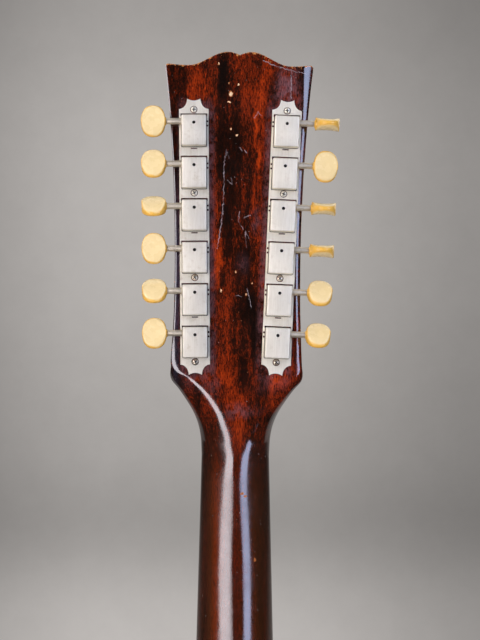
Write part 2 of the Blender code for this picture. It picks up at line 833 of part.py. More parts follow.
def build_strings():
    """Twelve strings from the tailpiece over bridge and nut to their posts."""
    for course in range(COURSES):
        for member in range(2):
            radius = STRING_RADII[course][member]
            x_nut = string_x(course, member, NUT_COURSE_PITCH, NUT_PAIR_GAP)
            x_bridge = string_x(course, member, BRIDGE_COURSE_PITCH, BRIDGE_PAIR_GAP)
            front = bridge_string_front(x_bridge) + radius
            nut_front = nut_string_front(x_nut) + radius
            reach = POST_WAIST_RADIUS + radius + SEAT_GAP
            points = [
                (x_bridge, -TAILPIECE_STRING_FRONT, TAILPIECE_Z + TAILPIECE_RADIUS + SEAT_GAP),
                (x_bridge, -front, -SCALE_LENGTH),
                (x_nut, -nut_front, 0.0),
                (x_nut, -nut_front, NUT_THICKNESS),
                string_end(*string_post(course, member), reach),
            ]
            curve = bpy.data.curves.new("string", "CURVE")
            curve.dimensions = "3D"
            curve.bevel_depth = radius
            curve.bevel_resolution = 1
            curve.use_fill_caps = True
            spline = curve.splines.new("POLY")
            spline.points.add(len(points) - 1)
            for target, point in zip(spline.points, points):
                target.co = (*point, 1)
            name = f"string_{course + 1}{'ab'[member]}"
            place(bpy.data.objects.new(name, curve), STEEL)


# Tuners


def build_strip(side):
    """One stamped strip: a long scalloped plate with six covers over the gears."""
    frame = STRIP_FRAMES[side]
    top = post_z(0) + PLATE_TOP_REACH
    bottom = post_z(TUNERS_PER_SIDE - 1) - PLATE_BOTTOM_REACH
    corner = []
    for k in range(5):
        angle = math.radians(90) * k / 4
        corner.append(
            (
                PLATE_TIP_HALF_WIDTH + (PLATE_HALF_WIDTH - PLATE_TIP_HALF_WIDTH) * (1 - math.cos(angle)),
                PLATE_SCALLOP * math.sin(angle),
            )
        )
    upper = [(x, top - drop) for x, drop in corner]
    lower = [(x, bottom + drop) for x, drop in reversed(corner)]
    right = upper + lower
    outline = right + [(-x, z) for x, z in reversed(right)]
    strip = plate(
        f"{side}_tuner_strip", outline, SEAT_GAP, SEAT_GAP + PLATE_THICKNESS, NICKEL, frame, curved=False
    )
    half = COVER_WIDTH / 2
    sign = SIDES[side]
    for index in range(TUNERS_PER_SIDE):
        centre = post_z(index) + COVER_ABOVE_POST
        low, high = centre - COVER_LENGTH / 2, centre + COVER_LENGTH / 2
        tag = f"{side}_{index + 1}"
        shell = box(
            f"cover_{tag}",
            (-half, PLATE_THICKNESS, low),
            (half, COVER_HEIGHT, high),
            parent=frame,
            cutter=True,
            rounding=COVER_ROUND,
        )
        combine(strip, shell, "UNION")
    for index in range(TUNERS_PER_SIDE):
        centre = post_z(index) + COVER_ABOVE_POST
        low, high = centre - COVER_LENGTH / 2, centre + COVER_LENGTH / 2
        shaft_z = shaft_height(index)
        tag = f"{side}_{index + 1}"
        inner = half - COVER_WALL
        hollow = box(
            f"hollow_{tag}",
            (-inner, -CUT_PAST, low + COVER_WALL),
            (inner, COVER_HEIGHT - COVER_WALL, high - COVER_WALL),
            parent=frame,
            cutter=True,
        )
        outer = half + CUT_PAST
        passage = rod(
            f"shaft_way_{tag}",
            (0 if sign > 0 else -outer, SHAFT_HEIGHT, shaft_z),
            outer,
            SHAFT_RADIUS + SEAT_GAP,
            "X",
            parent=frame,
            cutter=True,
            sides=8,
        )
        oil_hole = rod(
            f"oil_hole_{tag}",
            (0, COVER_HEIGHT - CUT_PAST / 2, shaft_z - OIL_HOLE_BELOW_SHAFT),
            CUT_PAST,
            OIL_HOLE_RADIUS,
            "Y",
            parent=frame,
            cutter=True,
            sides=6,
        )
        for tool in (hollow, passage, oil_hole):
            combine(strip, tool)


def shaft_height(index):
    """Height of a worm shaft in its strip's frame: above its post by the gear, the worm and their gap."""
    return post_z(index) + GEAR_RADIUS + WORM_RADIUS + WORM_GEAR_GAP


def superellipse(across, tall, power, sides):
    """Points round a rounded oval."""
    points = []
    for k in range(sides):
        angle = 2 * math.pi * k / sides
        c, s = math.cos(angle), math.sin(angle)
        points.append(
            (
                across * math.copysign(abs(c) ** (2 / power), c),
                tall * math.copysign(abs(s) ** (2 / power), s),
            )
        )
    return points


def key_mesh(sign):
    """A tuner key along +X from its pivot: tip, worm, shaft and oval button in one piece."""
    sides = 12
    worm_half = WORM_LENGTH / 2
    inner_wall = COVER_WIDTH / 2 - COVER_WALL
    stations = [
        (-inner_wall + SEAT_GAP, SHAFT_TIP_RADIUS, SHAFT_TIP_RADIUS, 2.0),
        (-worm_half, SHAFT_TIP_RADIUS, SHAFT_TIP_RADIUS, 2.0),
        (-worm_half, WORM_RADIUS, WORM_RADIUS, 2.0),
        (worm_half, WORM_RADIUS, WORM_RADIUS, 2.0),
        (worm_half, SHAFT_RADIUS, SHAFT_RADIUS, 2.0),
        (BUTTON_START, SHAFT_RADIUS, SHAFT_RADIUS, 2.0),
    ]
    middle = BUTTON_START + BUTTON_LENGTH / 2
    for share in (-0.985, -0.8, -0.4, 0.1, 0.55, 0.85, 0.985):
        tall = BUTTON_HALF_HEIGHT * (1 - abs(share) ** 2.4) ** (1 / 2.4)
        thick = BUTTON_HALF_THICKNESS + BUTTON_END_FLARE * share * share
        stations.append((middle + share * BUTTON_LENGTH / 2, tall, min(thick, tall), 2.6))
    rings = []
    for x, tall, thick, power in stations:
        oval = superellipse(thick, tall, power, sides)
        rings.append([(sign * x, y, z) for y, z in oval])
    return loft(rings)


def build_keys(side):
    """Six keys, each turned as the player left it."""
    sign = SIDES[side]
    turns = TREBLE_BUTTON_TURNS if side == "treble" else BASS_BUTTON_TURNS
    first = None
    for index in range(TUNERS_PER_SIDE):
        name = f"{side}_tuner_key_{index + 1}"
        if first is None:
            first = from_bmesh(name, key_mesh(sign), CREAM, STRIP_FRAMES[side])
            key = first
        else:
            key = place(bpy.data.objects.new(name, first.data), parent=STRIP_FRAMES[side])
        key.location = (0, SHAFT_HEIGHT, shaft_height(index))
        key.rotation_euler = (math.radians(turns[index]), 0, 0)


def post_mesh():
    """A string post with its gear, its origin on its axis at the gear's middle."""
    total = SHAFT_HEIGHT + HEADSTOCK_THICKNESS + VENEER_THICKNESS + POST_HEIGHT
    waist = SHAFT_HEIGHT + HEADSTOCK_THICKNESS + VENEER_THICKNESS + STRING_HOLE_HEIGHT
    stations = [
        (GEAR_THICKNESS / 2 + 0.0004, POST_RADIUS * 0.7),
        (0.0, POST_RADIUS),
        (-waist + 0.0030, POST_RADIUS),
        (-waist, POST_WAIST_RADIUS),
        (-waist - 0.0030, POST_RADIUS),
        (-total, POST_RADIUS * 0.9),
    ]
    rings = [[(x, y, z) for x, z in superellipse(radius, radius, 2.0, 8)] for y, radius in stations]
    shaft = from_bmesh("post_shaft", loft(rings), cutter=True)
    gear_rings = []
    for y in (-GEAR_THICKNESS / 2, GEAR_THICKNESS / 2):
        ring = []
        for k in range(2 * GEAR_TEETH):
            angle = math.pi * k / GEAR_TEETH
            radius = GEAR_RADIUS - (k % 2) * GEAR_TOOTH_DEPTH
            ring.append((radius * math.cos(angle), y, radius * math.sin(angle)))
        gear_rings.append(ring)
    gear = from_bmesh("post_gear", loft(gear_rings), cutter=True)
    combine(gear, shaft, "UNION")
    bpy.context.view_layer.update()
    mesh = bpy.data.meshes.new_from_object(gear.evaluated_get(bpy.context.evaluated_depsgraph_get()))
    for tool in (gear, shaft):
        bpy.data.objects.remove(tool)
    mesh.materials.clear()
    mesh.materials.append(NICKEL)
    return mesh


def build_posts():
    """Twelve string posts that share one mesh."""
    mesh = post_mesh()
    for side in SIDES:
        for index in range(TUNERS_PER_SIDE):
            name = f"{side}_string_post_{index + 1}"
            post = place(bpy.data.objects.new(name, mesh), parent=STRIP_FRAMES[side])
            post.location = (0, SHAFT_HEIGHT, post_z(index))


def build_truss_cover():
    """The bell-shaped cover over the truss rod's nut."""
    plate(
        "truss_rod_cover",
        TRUSS_COVER_OUTLINE,
        -VENEER_THICKNESS - SEAT_GAP - TRUSS_COVER_THICKNESS,
        -VENEER_THICKNESS - SEAT_GAP,
        BLACK_PLASTIC,
        HEADSTOCK_FRAME,
    )


# Body


def body_outline(shares, count):
    """Points (x, z) on a smooth closed curve through half an outline and its mirror image."""
    half = [(x * BODY_HALF_WIDTH, BODY_TAIL_Z + z * BODY_LENGTH) for x, z in shares]
    mirrored = [(-x, z) for x, z in reversed(half[1:-1])]
    knots = half + mirrored
    n = len(knots)
    fine = []
    for k in range(n):
        p0, p1, p2, p3 = (Vector(knots[(k + d) % n]) for d in (-1, 0, 1, 2))
        for step in range(16):
            t = step / 16
            bend = (2 * p0 - 5 * p1 + 4 * p2 - p3) * t**2
            twist = (3 * p1 - p0 - 3 * p2 + p3) * t**3
            fine.append((2 * p1 + (p2 - p0) * t + bend + twist) / 2)
    lengths = [0.0]
    for a, b in zip(fine, fine[1:] + fine[:1]):
        lengths.append(lengths[-1] + (b - a).length)
    points = []
    k = 0
    for i in range(count):
        want = lengths[-1] * i / count
        while lengths[k + 1] < want:
            k += 1
        share = (want - lengths[k]) / (lengths[k + 1] - lengths[k])
        a, b = fine[k], fine[(k + 1) % len(fine)]
        points.append(a + (b - a) * share)
    return points


BODY_EDGE = body_outline(BODY_OUTLINE, BODY_POINTS)
ARCH_EDGE = body_outline(BODY_OUTLINE[:-4] + NECK_JOINT_ARCH, BODY_POINTS)


def inset_outline(distance):
    """The body's outline moved inwards by a distance."""
    moved = []
    n = len(BODY_EDGE)
    for i, point in enumerate(BODY_EDGE):
        along = (BODY_EDGE[(i + 1) % n] - BODY_EDGE[i - 1]).normalized()
        inwards = Vector((-along.y, along.x))
        moved.append(point + inwards * distance)
    return moved


def edge_distance(x, z):
    """Distance from a point of the top to the edge that its arch is measured from."""
    point = Vector((x, z))
    best = 1.0
    for a, b in zip(ARCH_EDGE, ARCH_EDGE[1:] + ARCH_EDGE[:1]):
        along = b - a
        share = max(0.0, min(1.0, (point - a).dot(along) / along.length_squared))
        best = min(best, (point - a - along * share).length)
    return best


def top_y(x, z):
    """The carved top's surface: flat at the rim, then rising to a plateau."""
    share = (edge_distance(x, z) - ARCH_FLAT_RIM) / ARCH_WIDTH
    share = max(0.0, min(1.0, share))
    return BODY_EDGE_Y - ARCH_HEIGHT * (1 - math.cos(math.pi * share)) / 2


def highest_top(x, z, radius):
    """The furthest that the top stands out under a round piece."""
    angles = [k * math.pi / 6 for k in range(12)]
    ring = [(x + radius * math.cos(a), z + radius * math.sin(a)) for a in angles]
    return min(top_y(px, pz) for px, pz in ring + [(x, z)])


PLATEAU_Y = BODY_EDGE_Y - ARCH_HEIGHT
TAILPIECE_AXIS_Y = PLATEAU_Y - TAILPIECE_LIFT - TAILPIECE_RADIUS
TAILPIECE_STRING_FRONT = -TAILPIECE_AXIS_Y


def body_mesh():
    """The carved slab: back, rounded back edge, side, rim and carved top."""

    def level(points, y):
        return [(p.x, y, p.y) for p in points]

    centre = Vector((0, BODY_TAIL_Z + BODY_CENTRE_SHARE * BODY_LENGTH))

    def towards_centre(points, share):
        return [centre + (p - centre) * share for p in points]

    back_inner = inset_outline(BODY_BACK_ROUND)
    rim_inner = inset_outline(ARCH_FLAT_RIM)
    round_step = BODY_BACK_ROUND * (1 - math.sqrt(0.5))
    rings = [
        level(back_inner, BODY_BACK_Y),
        level(inset_outline(round_step), BODY_BACK_Y - round_step),
        level(BODY_EDGE, BODY_BACK_Y - BODY_BACK_ROUND),
        level(BODY_EDGE, BODY_EDGE_Y),
        level(rim_inner, BODY_EDGE_Y),
    ]
    for share in (0.93, 0.86, 0.78, 0.68):
        points = towards_centre(rim_inner, share)
        rings.append([(p.x, top_y(p.x, p.y), p.y) for p in points])
    rings.append(level(towards_centre(rim_inner, 0.56), PLATEAU_Y))
    bm = loft(rings)
    bm.normal_update()
    bmesh.ops.triangulate(bm, faces=bm.faces)
    return bm


def control_places(offsets):
    """Points (x, z) of the top from offsets round the middle of the controls."""
    return [tuple(CONTROL_CENTRE + Vector(offset)) for offset in offsets]


KNOB_PLACES = dict(zip(KNOB_OFFSETS, control_places(KNOB_OFFSETS.values())))
SELECTOR_PLACE = control_places([SELECTOR_OFFSET])[0]
CAVITY_OUTLINE = control_places(CAVITY_OFFSETS)


def knob_base(place_xz):
    """The y of a knob's underside, a seat gap clear of the top."""
    return highest_top(*place_xz, KNOB_RADIUS) - SEAT_GAP


def grown(outline, distance):
    """A convex outline moved outwards from its middle by a distance."""
    middle = sum((Vector(p) for p in outline), Vector((0, 0))) / len(outline)
    return [tuple(Vector(p) + (Vector(p) - middle).normalized() * distance) for p in outline]


def build_body():
    """The body, cut for the neck, the pickups, the controls and the output jack."""
    body = from_bmesh("body", body_mesh(), MAHOGANY)
    tools = []
    tenon = []
    for distance in (BOARD_END + SEAT_GAP, HEEL - HEEL_LENGTH):
        half_width = neck_half_width(BOARD_END) + SEAT_GAP
        corners = [(half_width, TOP_CUT_START), (half_width, TENON_DEPTH + SEAT_GAP)]
        ring = corners + [(-x, y) for x, y in reversed(corners)]
        tenon.append([(x, y, -distance) for x, y in ring])
    tools.append(from_bmesh("neck_pocket", loft(tenon), cutter=True))
    for name, z in (("neck", NECK_PICKUP_Z), ("bridge", BRIDGE_PICKUP_Z)):
        across, along = PICKUP_HALF_LENGTH + PICKUP_SIDE_GAP, PICKUP_HALF_WIDTH + PICKUP_SIDE_GAP
        bottom = -PICKUP_TOP + PICKUP_DEPTH + SEAT_GAP
        low = (-across, TOP_CUT_START, z - along)
        tools.append(box(f"{name}_pickup_rout", low, (across, bottom, z + along), cutter=True))
    cavity_floor = PLATEAU_Y + CAVITY_TOP_WALL
    past_back = BODY_BACK_Y + CUT_PAST
    tools.append(plate("control_cavity", CAVITY_OUTLINE, cavity_floor, past_back, cutter=True))
    ledge = grown(CAVITY_OUTLINE, CONTROL_COVER_LEDGE + SEAT_GAP)
    ledge_y = BODY_BACK_Y - CONTROL_COVER_THICKNESS - SEAT_GAP
    tools.append(plate("cover_recess", ledge, ledge_y, past_back, cutter=True))
    knob_hole = KNOB_SHAFT_RADIUS + KNOB_HOLE_CLEARANCE
    holes = {name: (place_xz, knob_hole) for name, place_xz in KNOB_PLACES.items()}
    holes["selector"] = (SELECTOR_PLACE, SELECTOR_BALL_RADIUS + SEAT_GAP)
    through_top = cavity_floor + CUT_PAST - TOP_CUT_START
    for name, ((x, z), radius) in holes.items():
        tools.append(rod(f"{name}_hole", (x, TOP_CUT_START, z), through_top, radius, "Y", cutter=True))
    flat = jack_seat_x()
    size = JACK_PLATE_HALF_SIZE + SEAT_GAP
    tools.append(
        box(
            "jack_flat",
            (flat, BODY_SIDE_Y - size, JACK_Z - size),
            (BODY_HALF_WIDTH + CUT_PAST, BODY_SIDE_Y + size, JACK_Z + size),
            cutter=True,
        )
    )
    hole = JACK_BARREL_RADIUS + SEAT_GAP
    start = flat - JACK_BARREL_LENGTH - SEAT_GAP - CUT_PAST
    length = JACK_BARREL_LENGTH + 3 * CUT_PAST
    tools.append(rod("jack_hole", (start, BODY_SIDE_Y, JACK_Z), length, hole, "X", cutter=True))
    for tool in tools:
        combine(body, tool)


def jack_seat_x():
    """The x of the small flat that the jack plate sits on, cut into the side of the lower bout."""
    near = [p for p in BODY_EDGE if p.x > 0 and abs(p.y - JACK_Z) < JACK_PLATE_HALF_SIZE * 1.5]
    return min(p.x for p in near) - JACK_SEAT_CUT


def build_control_cover():
    """The plate over the control cavity, flush in the back."""
    outline = grown(CAVITY_OUTLINE, CONTROL_COVER_LEDGE)
    plate("control_cover", outline, BODY_BACK_Y - CONTROL_COVER_THICKNESS, BODY_BACK_Y, BLACK_PLASTIC)


def build_knobs():
    """Four knobs, each with the pot shaft that it turns, on the axis of that shaft."""
    for name, place_xz in KNOB_PLACES.items():
        profile = [
            (0.0, KNOB_HEIGHT),
            (KNOB_TOP_RADIUS, KNOB_HEIGHT),
            (KNOB_TOP_RADIUS * 1.02, KNOB_HEIGHT * 0.45),
            (KNOB_RADIUS, KNOB_HEIGHT * 0.12),
            (KNOB_RADIUS, 0.0),
            (KNOB_SHAFT_RADIUS, 0.0),
            (KNOB_SHAFT_RADIUS, -KNOB_SHAFT_LENGTH),
            (0.0, -KNOB_SHAFT_LENGTH),
        ]
        turned(name, profile, "front", (place_xz[0], knob_base(place_xz), place_xz[1]), AMBER)


def build_selector():
    """The pickup selector's lever: a ball in its seat, a rod and a tip."""
    x, z = SELECTOR_PLACE
    pivot_y = top_y(x, z) + SELECTOR_BALL_RADIUS
    ball = [(math.sin(math.radians(a)), math.cos(math.radians(a))) for a in (30, 60, 90, 120, 150, 180)]
    reach = SELECTOR_REACH
    profile = [
        (0.0, reach),
        (SELECTOR_TIP_RADIUS * 0.7, reach * 0.97),
        (SELECTOR_TIP_RADIUS, reach * 0.84),
        (SELECTOR_TIP_RADIUS * 0.6, reach * 0.52),
        (SELECTOR_ROD_RADIUS, reach * 0.50),
        (SELECTOR_ROD_RADIUS, SELECTOR_BALL_RADIUS * 0.92),
    ]
    profile += [(SELECTOR_BALL_RADIUS * r, SELECTOR_BALL_RADIUS * h) for r, h in ball[1:]]
    turned("selector_lever", profile, "front", (x, pivot_y, z), CREAM, sides=12)


def build_bridge():
    """The bridge: a bar with six saddles, on two posts with thumbwheels."""
    saddle_tops = []
    for course in range(COURSES):
        xs = [string_x(course, member, BRIDGE_COURSE_PITCH, BRIDGE_PAIR_GAP) for member in range(2)]
        saddle_tops.append((sum(xs) / 2, min(bridge_string_front(x) for x in xs) - SEAT_GAP))
    bar_front = min(top for _, top in saddle_tops) - 0.0016
    bar_back = bar_front - BRIDGE_BAR_HEIGHT
    bridge = box(
        "bridge",
        (-BRIDGE_HALF_LENGTH, -bar_front, BRIDGE_Z - BRIDGE_HALF_WIDTH),
        (BRIDGE_HALF_LENGTH, -bar_back, BRIDGE_Z + BRIDGE_HALF_WIDTH),
        NICKEL,
        rounding=0.0012,
    )
    for number, (x, top) in enumerate(saddle_tops):
        saddle = loft(
            [
                [
                    (x - SADDLE_LENGTH / 2, -bar_front + 0.001, BRIDGE_Z + side * SADDLE_HALF_WIDTH),
                    (x + SADDLE_LENGTH / 2, -bar_front + 0.001, BRIDGE_Z + side * SADDLE_HALF_WIDTH),
                    (x + SADDLE_LENGTH / 2, -top, BRIDGE_Z + side * SADDLE_HALF_WIDTH / 3),
                    (x - SADDLE_LENGTH / 2, -top, BRIDGE_Z + side * SADDLE_HALF_WIDTH / 3),
                ]
                for side in (-1, 1)
            ]
        )
        combine(bridge, from_bmesh(f"saddle_{number + 1}", saddle, cutter=True), "UNION")
    foot = PLATEAU_Y - SEAT_GAP
    for side, sign in SIDES.items():
        x = sign * BRIDGE_POST_X
        post = rod(
            f"{side}_bridge_post",
            (x, -bar_front + 0.002, BRIDGE_Z),
            foot + bar_front - 0.002,
            BRIDGE_POST_RADIUS,
            "Y",
            cutter=True,
            sides=10,
        )
        wheel = rod(
            f"{side}_thumbwheel",
            (x, -bar_back - 0.0003, BRIDGE_Z),
            THUMBWHEEL_THICKNESS,
            THUMBWHEEL_RADIUS,
            "Y",
            cutter=True,
            sides=16,
        )
        combine(bridge, post, "UNION")
        combine(bridge, wheel, "UNION")


def build_tailpiece():
    """The stop tailpiece: a rounded bar on two studs."""
    rings = []
    for x in (-TAILPIECE_HALF_LENGTH, TAILPIECE_HALF_LENGTH):
        oval = superellipse(TAILPIECE_RADIUS, TAILPIECE_RADIUS, 2.6, 12)
        rings.append([(x, TAILPIECE_AXIS_Y + y, TAILPIECE_Z + z) for y, z in oval])
    bar = from_bmesh("tailpiece", loft(rings), NICKEL)
    for side, sign in SIDES.items():
        x = sign * TAILPIECE_STUD_X
        stud = rod(
            f"{side}_tailpiece_stud",
            (x, TAILPIECE_AXIS_Y - TAILPIECE_RADIUS - 0.001, TAILPIECE_Z),
            PLATEAU_Y - SEAT_GAP - TAILPIECE_AXIS_Y + TAILPIECE_RADIUS + 0.001,
            TAILPIECE_STUD_RADIUS,
            "Y",
            cutter=True,
            sides=14,
        )
        combine(bar, stud, "UNION")


def build_pickups():
    """Two covered pickups, each with its mounting ring."""
    for name, z in (("neck_pickup", NECK_PICKUP_Z), ("bridge_pickup", BRIDGE_PICKUP_Z)):
        cover = box(
            name,
            (-PICKUP_HALF_LENGTH, -PICKUP_TOP, z - PICKUP_HALF_WIDTH),
            (PICKUP_HALF_LENGTH, -PICKUP_TOP + PICKUP_DEPTH, z + PICKUP_HALF_WIDTH),
            NICKEL,
            rounding=0.0015,
        )
        ring = box(
            f"{name}_ring",
            (-PICKUP_RING_HALF_LENGTH, PLATEAU_Y - SEAT_GAP - PICKUP_RING_HEIGHT, z - PICKUP_RING_HALF_WIDTH),
            (PICKUP_RING_HALF_LENGTH, PLATEAU_Y - SEAT_GAP, z + PICKUP_RING_HALF_WIDTH),
            cutter=True,
            rounding=0.0010,
        )
        combine(cover, ring, "UNION")


def build_pickguard():
    """The raised pickguard on its two spacers."""
    back = -PICKGUARD_HEIGHT
    inner = PICKUP_RING_HALF_LENGTH + PICKGUARD_TO_PICKUPS
    top = NECK_PICKUP_Z + PICKUP_RING_HALF_WIDTH
    reach = top - BRIDGE_PICKUP_Z + PICKUP_RING_HALF_WIDTH

    def placed(shares):
        return [(inner + x * PICKGUARD_WIDTH, top - z * reach) for x, z in shares]

    guard = plate("pickguard", placed(PICKGUARD_OUTLINE), back - PICKGUARD_THICKNESS, back, BLACK_PLASTIC)
    for number, (x, z) in enumerate(placed(PICKGUARD_SPACERS)):
        foot = highest_top(x, z, PICKGUARD_SPACER_RADIUS) - SEAT_GAP
        spacer = rod(
            f"pickguard_spacer_{number + 1}",
            (x, back - PICKGUARD_THICKNESS / 2, z),
            foot - back + PICKGUARD_THICKNESS / 2,
            PICKGUARD_SPACER_RADIUS,
            "Y",
            cutter=True,
            sides=10,
        )
        combine(guard, spacer, "UNION")


def build_jack():
    """The output jack: a plate, a threaded bush and a barrel with the socket's bore."""
    x = jack_seat_x() + SEAT_GAP
    size = JACK_PLATE_HALF_SIZE
    jack = box(
        "output_jack",
        (x, BODY_SIDE_Y - size, JACK_Z - size),
        (x + JACK_PLATE_THICKNESS, BODY_SIDE_Y + size, JACK_Z + size),
        NICKEL,
    )
    start = x - JACK_BARREL_LENGTH
    barrel = rod(
        "jack_barrel",
        (start, BODY_SIDE_Y, JACK_Z),
        JACK_BARREL_LENGTH + JACK_PLATE_THICKNESS / 2,
        JACK_BARREL_RADIUS,
        "X",
        cutter=True,
        sides=16,
    )
    bush = rod(
        "jack_bush",
        (x, BODY_SIDE_Y, JACK_Z),
        JACK_PLATE_THICKNESS + JACK_BUSH_REACH,
        JACK_BUSH_RADIUS,
        "X",
        cutter=True,
        sides=16,
    )
    wall = 0.002
    bore = rod(
        "jack_bore",
        (start + wall, BODY_SIDE_Y, JACK_Z),
        JACK_BARREL_LENGTH + JACK_PLATE_THICKNESS + JACK_BUSH_REACH + CUT_PAST,
        JACK_BORE_RADIUS,
        "X",
        cutter=True,
        sides=16,
    )
    combine(jack, barrel, "UNION")
    combine(jack, bush, "UNION")
    combine(jack, bore)


def build_strap_buttons():
    """A strap button on the tail and one on the back behind the heel."""
    length = STRAP_BUTTON_LENGTH
    profile = [
        (0.0, length),
        (STRAP_BUTTON_RADIUS * 0.86, length),
        (STRAP_BUTTON_RADIUS, length * 0.93),
        (STRAP_BUTTON_RADIUS, length * 0.82),
        (STRAP_BUTTON_NECK_RADIUS, length * 0.66),
        (STRAP_BUTTON_NECK_RADIUS, length * 0.30),
        (STRAP_BUTTON_RADIUS * 0.93, 0.0),
        (0.0, 0.0),
    ]
    tail = (0, BODY_SIDE_Y, BODY_TAIL_Z - SEAT_GAP)
    turned("tail_strap_button", profile, "down", tail, NICKEL)
    heel = (0, BODY_BACK_Y + SEAT_GAP, HEEL_STRAP_BUTTON_Z)
    turned("heel_strap_button", profile, "back", heel, NICKEL)


build_neck()
build_fingerboard()
build_nut()
build_truss_cover()
for strip_side in SIDES:
    build_strip(strip_side)
    build_keys(strip_side)
build_posts()
build_body()
build_control_cover()
build_pickups()
build_bridge()
build_tailpiece()
build_pickguard()
build_knobs()
build_selector()
build_jack()
build_strap_buttons()
build_strings()
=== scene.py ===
import math
import random

import bmesh
import bpy
from mathutils import Matrix, Vector


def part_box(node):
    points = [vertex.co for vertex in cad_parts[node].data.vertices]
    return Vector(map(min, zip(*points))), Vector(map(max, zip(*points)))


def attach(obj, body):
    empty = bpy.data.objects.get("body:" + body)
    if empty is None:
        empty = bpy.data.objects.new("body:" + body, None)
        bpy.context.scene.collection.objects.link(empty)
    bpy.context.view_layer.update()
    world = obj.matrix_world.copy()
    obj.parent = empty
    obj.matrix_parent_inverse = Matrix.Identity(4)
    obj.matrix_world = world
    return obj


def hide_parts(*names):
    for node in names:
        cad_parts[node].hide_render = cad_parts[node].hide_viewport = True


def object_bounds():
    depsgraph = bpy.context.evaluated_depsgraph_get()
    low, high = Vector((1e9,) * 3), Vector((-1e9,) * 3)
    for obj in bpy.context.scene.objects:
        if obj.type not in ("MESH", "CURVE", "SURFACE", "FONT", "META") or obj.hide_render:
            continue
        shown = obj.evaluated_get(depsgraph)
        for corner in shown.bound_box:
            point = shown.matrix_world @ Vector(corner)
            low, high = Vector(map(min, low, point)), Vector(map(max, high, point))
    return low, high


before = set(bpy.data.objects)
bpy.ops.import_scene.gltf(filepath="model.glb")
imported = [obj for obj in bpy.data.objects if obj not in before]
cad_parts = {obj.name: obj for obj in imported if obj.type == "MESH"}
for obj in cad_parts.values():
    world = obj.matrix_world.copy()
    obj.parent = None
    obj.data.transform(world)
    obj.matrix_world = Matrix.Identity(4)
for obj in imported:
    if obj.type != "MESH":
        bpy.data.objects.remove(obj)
CAD_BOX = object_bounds()

# Measures that repeat the CAD part's, in metres
HEADSTOCK_ANGLE = math.radians(17.0)
HEADSTOCK_THICKNESS = 0.0145
HEADSTOCK_LENGTH = 0.2322
CROWN_HEIGHT = 0.0085
CROWN_PEAK = 0.0068
CROWN_FOOT = 0.0315
CROWN_DIP = 0.0020
BLANK_HALF_WIDTH = 0.0320
VENEER_THICKNESS = 0.0015
NUT_THICKNESS = 0.0050
HEADSTOCK_HALF_WIDTHS = (
    (0.0000, 0.02085), (0.0040, 0.02105), (0.0080, 0.02150), (0.0120, 0.02225), (0.0160, 0.02340),
    (0.0200, 0.02495), (0.0240, 0.02700), (0.0285, 0.02980), (0.0330, 0.03280), (0.0370, 0.03570),
    (0.0400, 0.03830), (0.0425, 0.03985), (0.0455, 0.04020), (0.0510, 0.03965), (0.0670, 0.03890),
    (0.0900, 0.03812), (0.1100, 0.03800), (0.1300, 0.03823), (0.1600, 0.03920), (0.1900, 0.04098),
    (0.2150, 0.04309), (0.2322, 0.04500),
)
# The back's profile against height above the nut, for each side: where its slope reaches RIDGE_ANGLE,
# the radius of the flank beyond that, and the height of the square side as a share of the depth
RIDGE_ANGLE = math.radians(13.0)
FLANK_ANGLE = math.radians(21.0)
RIDGE_REACH = {
    "treble": (
        (-0.4300, 0.0022), (-0.1100, 0.0015), (-0.0700, 0.0021), (-0.0200, 0.0017), (-0.0045, 0.0018),
        (0.0031, 0.0030), (0.0106, 0.0050), (0.0182, 0.0079), (0.0266, 0.0129), (0.0338, 0.0187),
        (0.0417, 0.0276), (0.0477, 0.0364), (0.0540, 0.0384), (0.0700, 0.0379),
    ),
    "bass": (
        (-0.4300, 0.0036), (-0.1100, 0.0045), (-0.0700, 0.0042), (-0.0200, 0.0024), (-0.0045, 0.0036),
        (0.0031, 0.0060), (0.0106, 0.0108), (0.0182, 0.0142), (0.0266, 0.0205), (0.0338, 0.0270),
        (0.0417, 0.0343), (0.0477, 0.0376), (0.0540, 0.0370), (0.0700, 0.0363),
    ),
}
# Above this height the reach is measured in from the edge instead
RIDGE_RADIUS = ((-0.030, 0.0080), (-0.010, 0.0180), (0.010, 0.0320), (0.045, 0.0300), (0.070, 0.0035))
END_ANGLES = ((-0.050, 66.0), (-0.020, 69.0), (0.020, 79.0), (0.050, 84.0))
EDGE_FROM = 0.0700
EDGE_INSET = {
    "treble": ((0.07, 0.0010), (0.1500, 0.0008), (0.2322, 0.0004)),
    "bass": ((0.07, 0.0026), (0.1900, 0.0028), (0.2150, 0.0042), (0.2322, 0.0060)),
}
FLANK_RADIUS = {
    "treble": (
        (-0.1100, 0.0620), (-0.0500, 0.0580), (-0.0200, 0.0450), (0.0031, 0.0290), (0.0182, 0.0330),
        (0.0338, 0.0320), (0.0477, 0.0180), (0.0540, 0.0110), (0.0660, 0.0080), (0.0780, 0.0040),
    ),
    "bass": (
        (-0.1100, 0.0410), (-0.0500, 0.0400), (-0.0200, 0.0360), (0.0031, 0.0270), (0.0106, 0.0140),
        (0.0338, 0.0100), (0.0700, 0.0115), (0.1900, 0.0125), (0.2150, 0.0240), (0.2322, 0.0350),
    ),
}
SIDE_SHARES = {
    "treble": (
        (-0.0100, 0.10), (0.0130, 0.16), (0.0220, 0.28), (0.0310, 0.42), (0.0380, 0.52), (0.0460, 0.74),
        (0.0520, 0.90), (0.0700, 0.94),
    ),
    "bass": (
        (-0.0100, 0.10), (0.0130, 0.16), (0.0220, 0.28), (0.0310, 0.46), (0.0380, 0.62), (0.0460, 0.82),
        (0.0700, 0.87), (0.1900, 0.87), (0.2322, 0.80),
    ),
}
SCALE_LENGTH = 0.62865
NUT_WIDTH = 0.0413
NECK_WIDTH_AT_TWELFTH = 0.0516
NECK_DEPTH_AT_NUT = 0.0155
NECK_DEPTH_AT_TWELFTH = 0.0185
